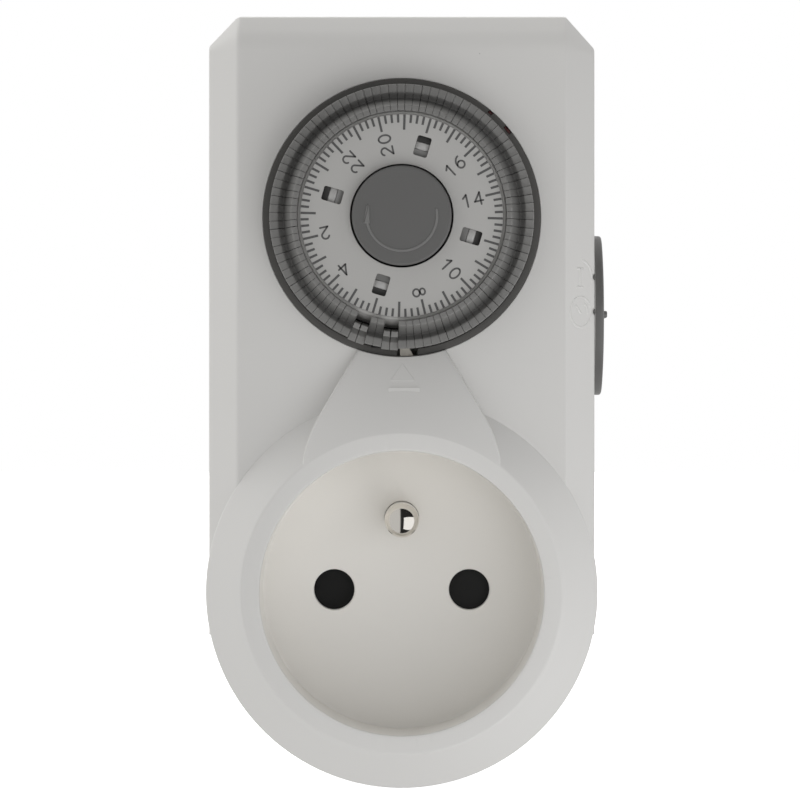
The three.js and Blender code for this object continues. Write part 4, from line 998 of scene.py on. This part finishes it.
def make_bezel():
    """Grey ring round the dial, open at the pointer and at two small slots with a lug in each."""
    ring = turned(soften([
        (18.65, 37.1), (21, 37.1), (21, 38.9), (19.27, 38.9),
        (19.27, 41.2, 0.06), (18.3, 41.2, 0.15), (18.3, 40.7, 0.1), (18.65, 40.5)]), ROUND)
    cuts = [(CUT, slab(-0.65, 2.2, -22, -17.5, 36, 43))]
    lugs = []
    for angle, half in ((49.7, 0.375), (39.5, 0.65)):
        cuts.append((CUT, moved(slab(18.8, 20.2, -half, half, 39.2, 43), turn_z(angle))))
        lug = raised(box_outline(18.85, 19.15, 0.06 - half, half - 0.06, 0.05), 39.0, 41.0, edge=0.04)
        lugs.append(moved(lug, around_dial(angle)))
    form = moved(carved(ring, *cuts), TO_THE_DIAL)
    finished_piece("dial_ring", form, RING_GREY, "housing", ["dial_bezel"])
    finished_piece("ring_lugs", merged(*lugs), LUG_RED, "housing", ())


def make_pointer():
    """Pointer in the gap of the ring, white plastic whose darker cream tone is painted shade: a short flag on
    a stem that runs under the housing's face.
    """
    flag = raised(soften([
        (-0.24, -18.1, 0.08), (-0.24, -19.25, 0.08), (1.65, -19.2, 0.08), (1.0, -18.1, 0.08),
    ]), 38.1, 41.1, edge=0.04)
    stem = raised(box_outline(-0.175, 1.0, -23.2, -18.4, 0.1), 38.1, 38.9)
    form = moved(merged(flag, stem), TO_THE_DIAL)
    finished_piece("pointer_flag", form, POINTER_CREAM_SHADE, "housing", ["time_pointer"])


# Selector and its signs
def make_selector():
    """Selector disc with a pointer rib and its shaft, and a grey stub in each index notch."""
    radius, rim, top = 11.22, 28.1, 28.28
    disc = turned(soften([
        (0, 26.97), (radius, 26.97, 0.05), (radius, rim, 0.42), (9.4, 28.22, 0.8), (0, top),
    ], closed=False, steps=5), 160)
    rib = raised(box_outline(0, 9.8, -0.5, 0.5, 0.45), 27.4, 28.65, edge=0.24)
    form = moved(merged(disc, rib, peg(2.6, 15.5, 27.4, 48)), TO_THE_RIGHT)
    piece = finished_piece(
        "selector_disc", form, SELECTOR_GREY, "selector", ["selector_knob"], sharp=40)
    # In the photo the bevel beside the disc isn't darkened
    piece.visible_shadow = piece.visible_diffuse = piece.visible_glossy = False
    stubs = []
    for rise in NOTCH_RISES:
        line = [(BODY_HALF + 0.04 - 0.24 * math.cos(a), SELECTOR_Y + rise + 0.42 * math.sin(a))
                for a in (math.pi * (0.5 - k / 12) for k in range(13))]
        stubs.append(raised(line, 34, 37.25, edge=0.05))
    finished_piece("index_stubs", merged(*stubs), SELECTOR_GREY, "housing", ())


def make_signs():
    """Raised signs on the right bevel: an I for always on, and a clock face with two arcs for timed."""
    lean, bevel_x, bevel_z = math.sqrt(0.5), 24.86, 38.96
    to_the_bevel = Matrix(((lean, 0, lean, bevel_x), (0, 1, 0, 0), (-lean, 0, lean, bevel_z), (0, 0, 0, 1)))
    clock = (0.1, 38.9)
    lines = [
        [(-0.5, 44.95), (0.5, 44.95)], [(0, 44.95), (0, 42.4)], [(-0.5, 42.4), (0.5, 42.4)],
        arc_line(-0.1, 43.65, 2.5, 2.5, -10, 80, 20),
        arc_line(*clock, 2.1, 2.1, 0, 360, 48), [(0.1, 38.75), (-0.85, 39.8)],
        arc_line(*clock, 1.35, 1.35, -5, 60, 12),
    ]
    width, root, height = 0.34, -0.03, 0.07
    forms = [moved(stroke(line, width, root, height, edge=0.1), to_the_bevel) for line in lines]
    finished_piece("bevel_signs", merged(*forms), SHELL, "housing", (), sharp=50)


make_front_shell()
make_ramp_marks()
make_rear_shell()
make_screws()
make_plug()
make_earth_pin()
make_shutter_spring()
make_drum()
make_hooks()
make_moving_tappets()
make_plate()
make_scale()
make_knob()
make_bezel()
make_pointer()
make_selector()
make_signs()


# Finishes of the CAD pieces that stay, by the record's slots; the lever is black
INNER_FINISHES = {
    "natural": NATURAL, "steel": ZINC, "brass": BRASS, "copper": COPPER, "nickel": NICKEL,
    "black_plastic": BLACK,
}
for part in frame["record"]["subparts"]:
    node = frame["nodes"][part["node"]]
    finish = INNER_FINISHES.get(part["material_slot"])
    if finish and not node.hide_render:
        node.data.materials.clear()
        node.data.materials.append(BLACK if part["node"] == "switch_lever" else finish)


# Studio: a sky that is brighter in some directions, a near softbox and a white floor
SKY_GLOWS = (  # direction, sharpness, brightness
    ((-1, 0, 0), 1, 0.694),
    ((-0.9, 0.45, 0), 4, 0.759),
    ((0, 0, 1), 1, 0.108),
    ((0, 0.5, 0.85), 4, 2.81),
    ((0, -1, 0), 25, 1.28),
    ((0.2, -0.6, -0.8), 4, 0.851),
)
PALE_WALLS = (((-1, 0, 0), 0.06, 0.2), ((0, 1, 0), -0.1, 0.2))  # direction, where it fades in
WARM_WHITE, WHITE = (1.0, 0.995, 0.98, 1), (1, 1, 1, 1)
WHITE_PANEL, DARK_ROOM = 0.55, 0.02
KEY_POWER, KEY_TURN = 0.446, math.radians(43.5)
KEY_AWAY, KEY_ASIDE, KEY_BELOW = 0.2, 0.511, 0.551  # metres, then shares of them
KEY_WIDTH, KEY_HEIGHT = 2.2, 1.764


def make_sky():
    """The sky: each glow adds light from its own direction, and the camera sees plain white.

    Gloss mirrors a room that is pale on the left and behind, and dark at the right in front.
    """
    world = bpy.data.worlds.new("studio_sky")
    bpy.context.scene.world = world
    world.use_nodes = True
    tree = world.node_tree
    looking = added(tree, "TexCoord").outputs["Generated"]

    def towards(direction):
        """How far the sky is looked at in that direction, from -1 to 1."""
        return vector(tree, "DOT_PRODUCT", looking, Vector(direction).normalized())["Value"]

    total = 0.0
    for direction, sharpness, brightness in SKY_GLOWS:
        narrowed = number(tree, "POWER", number(tree, "MAXIMUM", towards(direction), 0.0), sharpness)
        total = number(tree, "MULTIPLY_ADD", narrowed, brightness, total)
    walls = [soft_step(tree, towards(direction), low, high) for direction, low, high in PALE_WALLS]
    pale = number(tree, "MAXIMUM", *walls)
    room = number(tree, "MULTIPLY_ADD", pale, WHITE_PANEL - DARK_ROOM, DARK_ROOM)
    path = added(tree, "LightPath").outputs
    glow = tree.nodes["Background"]
    glow.inputs["Color"].default_value = WARM_WHITE
    feed(tree, between(tree, path["Is Glossy Ray"], total, room), glow.inputs["Strength"])
    plain = added(tree, "Background", {"Color": WHITE})
    either = added(tree, "MixShader", {0: path["Is Camera Ray"], 1: glow.outputs[0], 2: plain.outputs[0]})
    feed(tree, either.outputs[0], tree.nodes["World Output"].inputs["Surface"])


def make_softbox():
    """The key light: an upright softbox at the lower right, near enough to fade towards the dial."""
    light = bpy.data.lights.new("key_softbox", "AREA")
    light.shape = "RECTANGLE"
    light.size, light.size_y = KEY_WIDTH * KEY_AWAY, KEY_HEIGHT * KEY_AWAY
    light.energy = KEY_POWER
    softbox = bpy.data.objects.new("key_softbox", light)
    ahead = Vector((math.sin(KEY_TURN), -math.cos(KEY_TURN), 0))
    aside = Vector((math.cos(KEY_TURN), math.sin(KEY_TURN), 0))
    way = ahead + aside * KEY_ASIDE - Vector((0, 0, KEY_BELOW))
    softbox.location = at(0, EARTH_Y, RIM_TOP) + way * KEY_AWAY
    softbox.rotation_euler = (-ahead).to_track_quat("-Z", "Y").to_euler()
    bpy.context.collection.objects.link(softbox)


def make_floor():
    """White floor right under the object. It is for the camera alone and takes no light away."""
    half, gap = 3, 0.0005
    mesh = bpy.data.meshes.new("studio_floor")
    form = bmesh.new()
    bmesh.ops.create_grid(form, x_segments=2, y_segments=2, size=half)
    form.to_mesh(mesh)
    form.free()
    floor = bpy.data.objects.new("studio_floor", mesh)
    floor.location = (0, 0, cad_box[0][2] - gap)
    bpy.context.collection.objects.link(floor)
    finish, _, _ = surface("pale_floor", Base_Color=(0.9, 0.9, 0.9, 1), Roughness=0.8,
                           Emission_Color=WHITE, Emission_Strength=1.0)
    mesh.materials.append(finish)
    floor.visible_diffuse = floor.visible_glossy = floor.visible_shadow = False


make_sky()
make_softbox()
make_floor()
bpy.context.scene.view_settings.view_transform = "Standard"
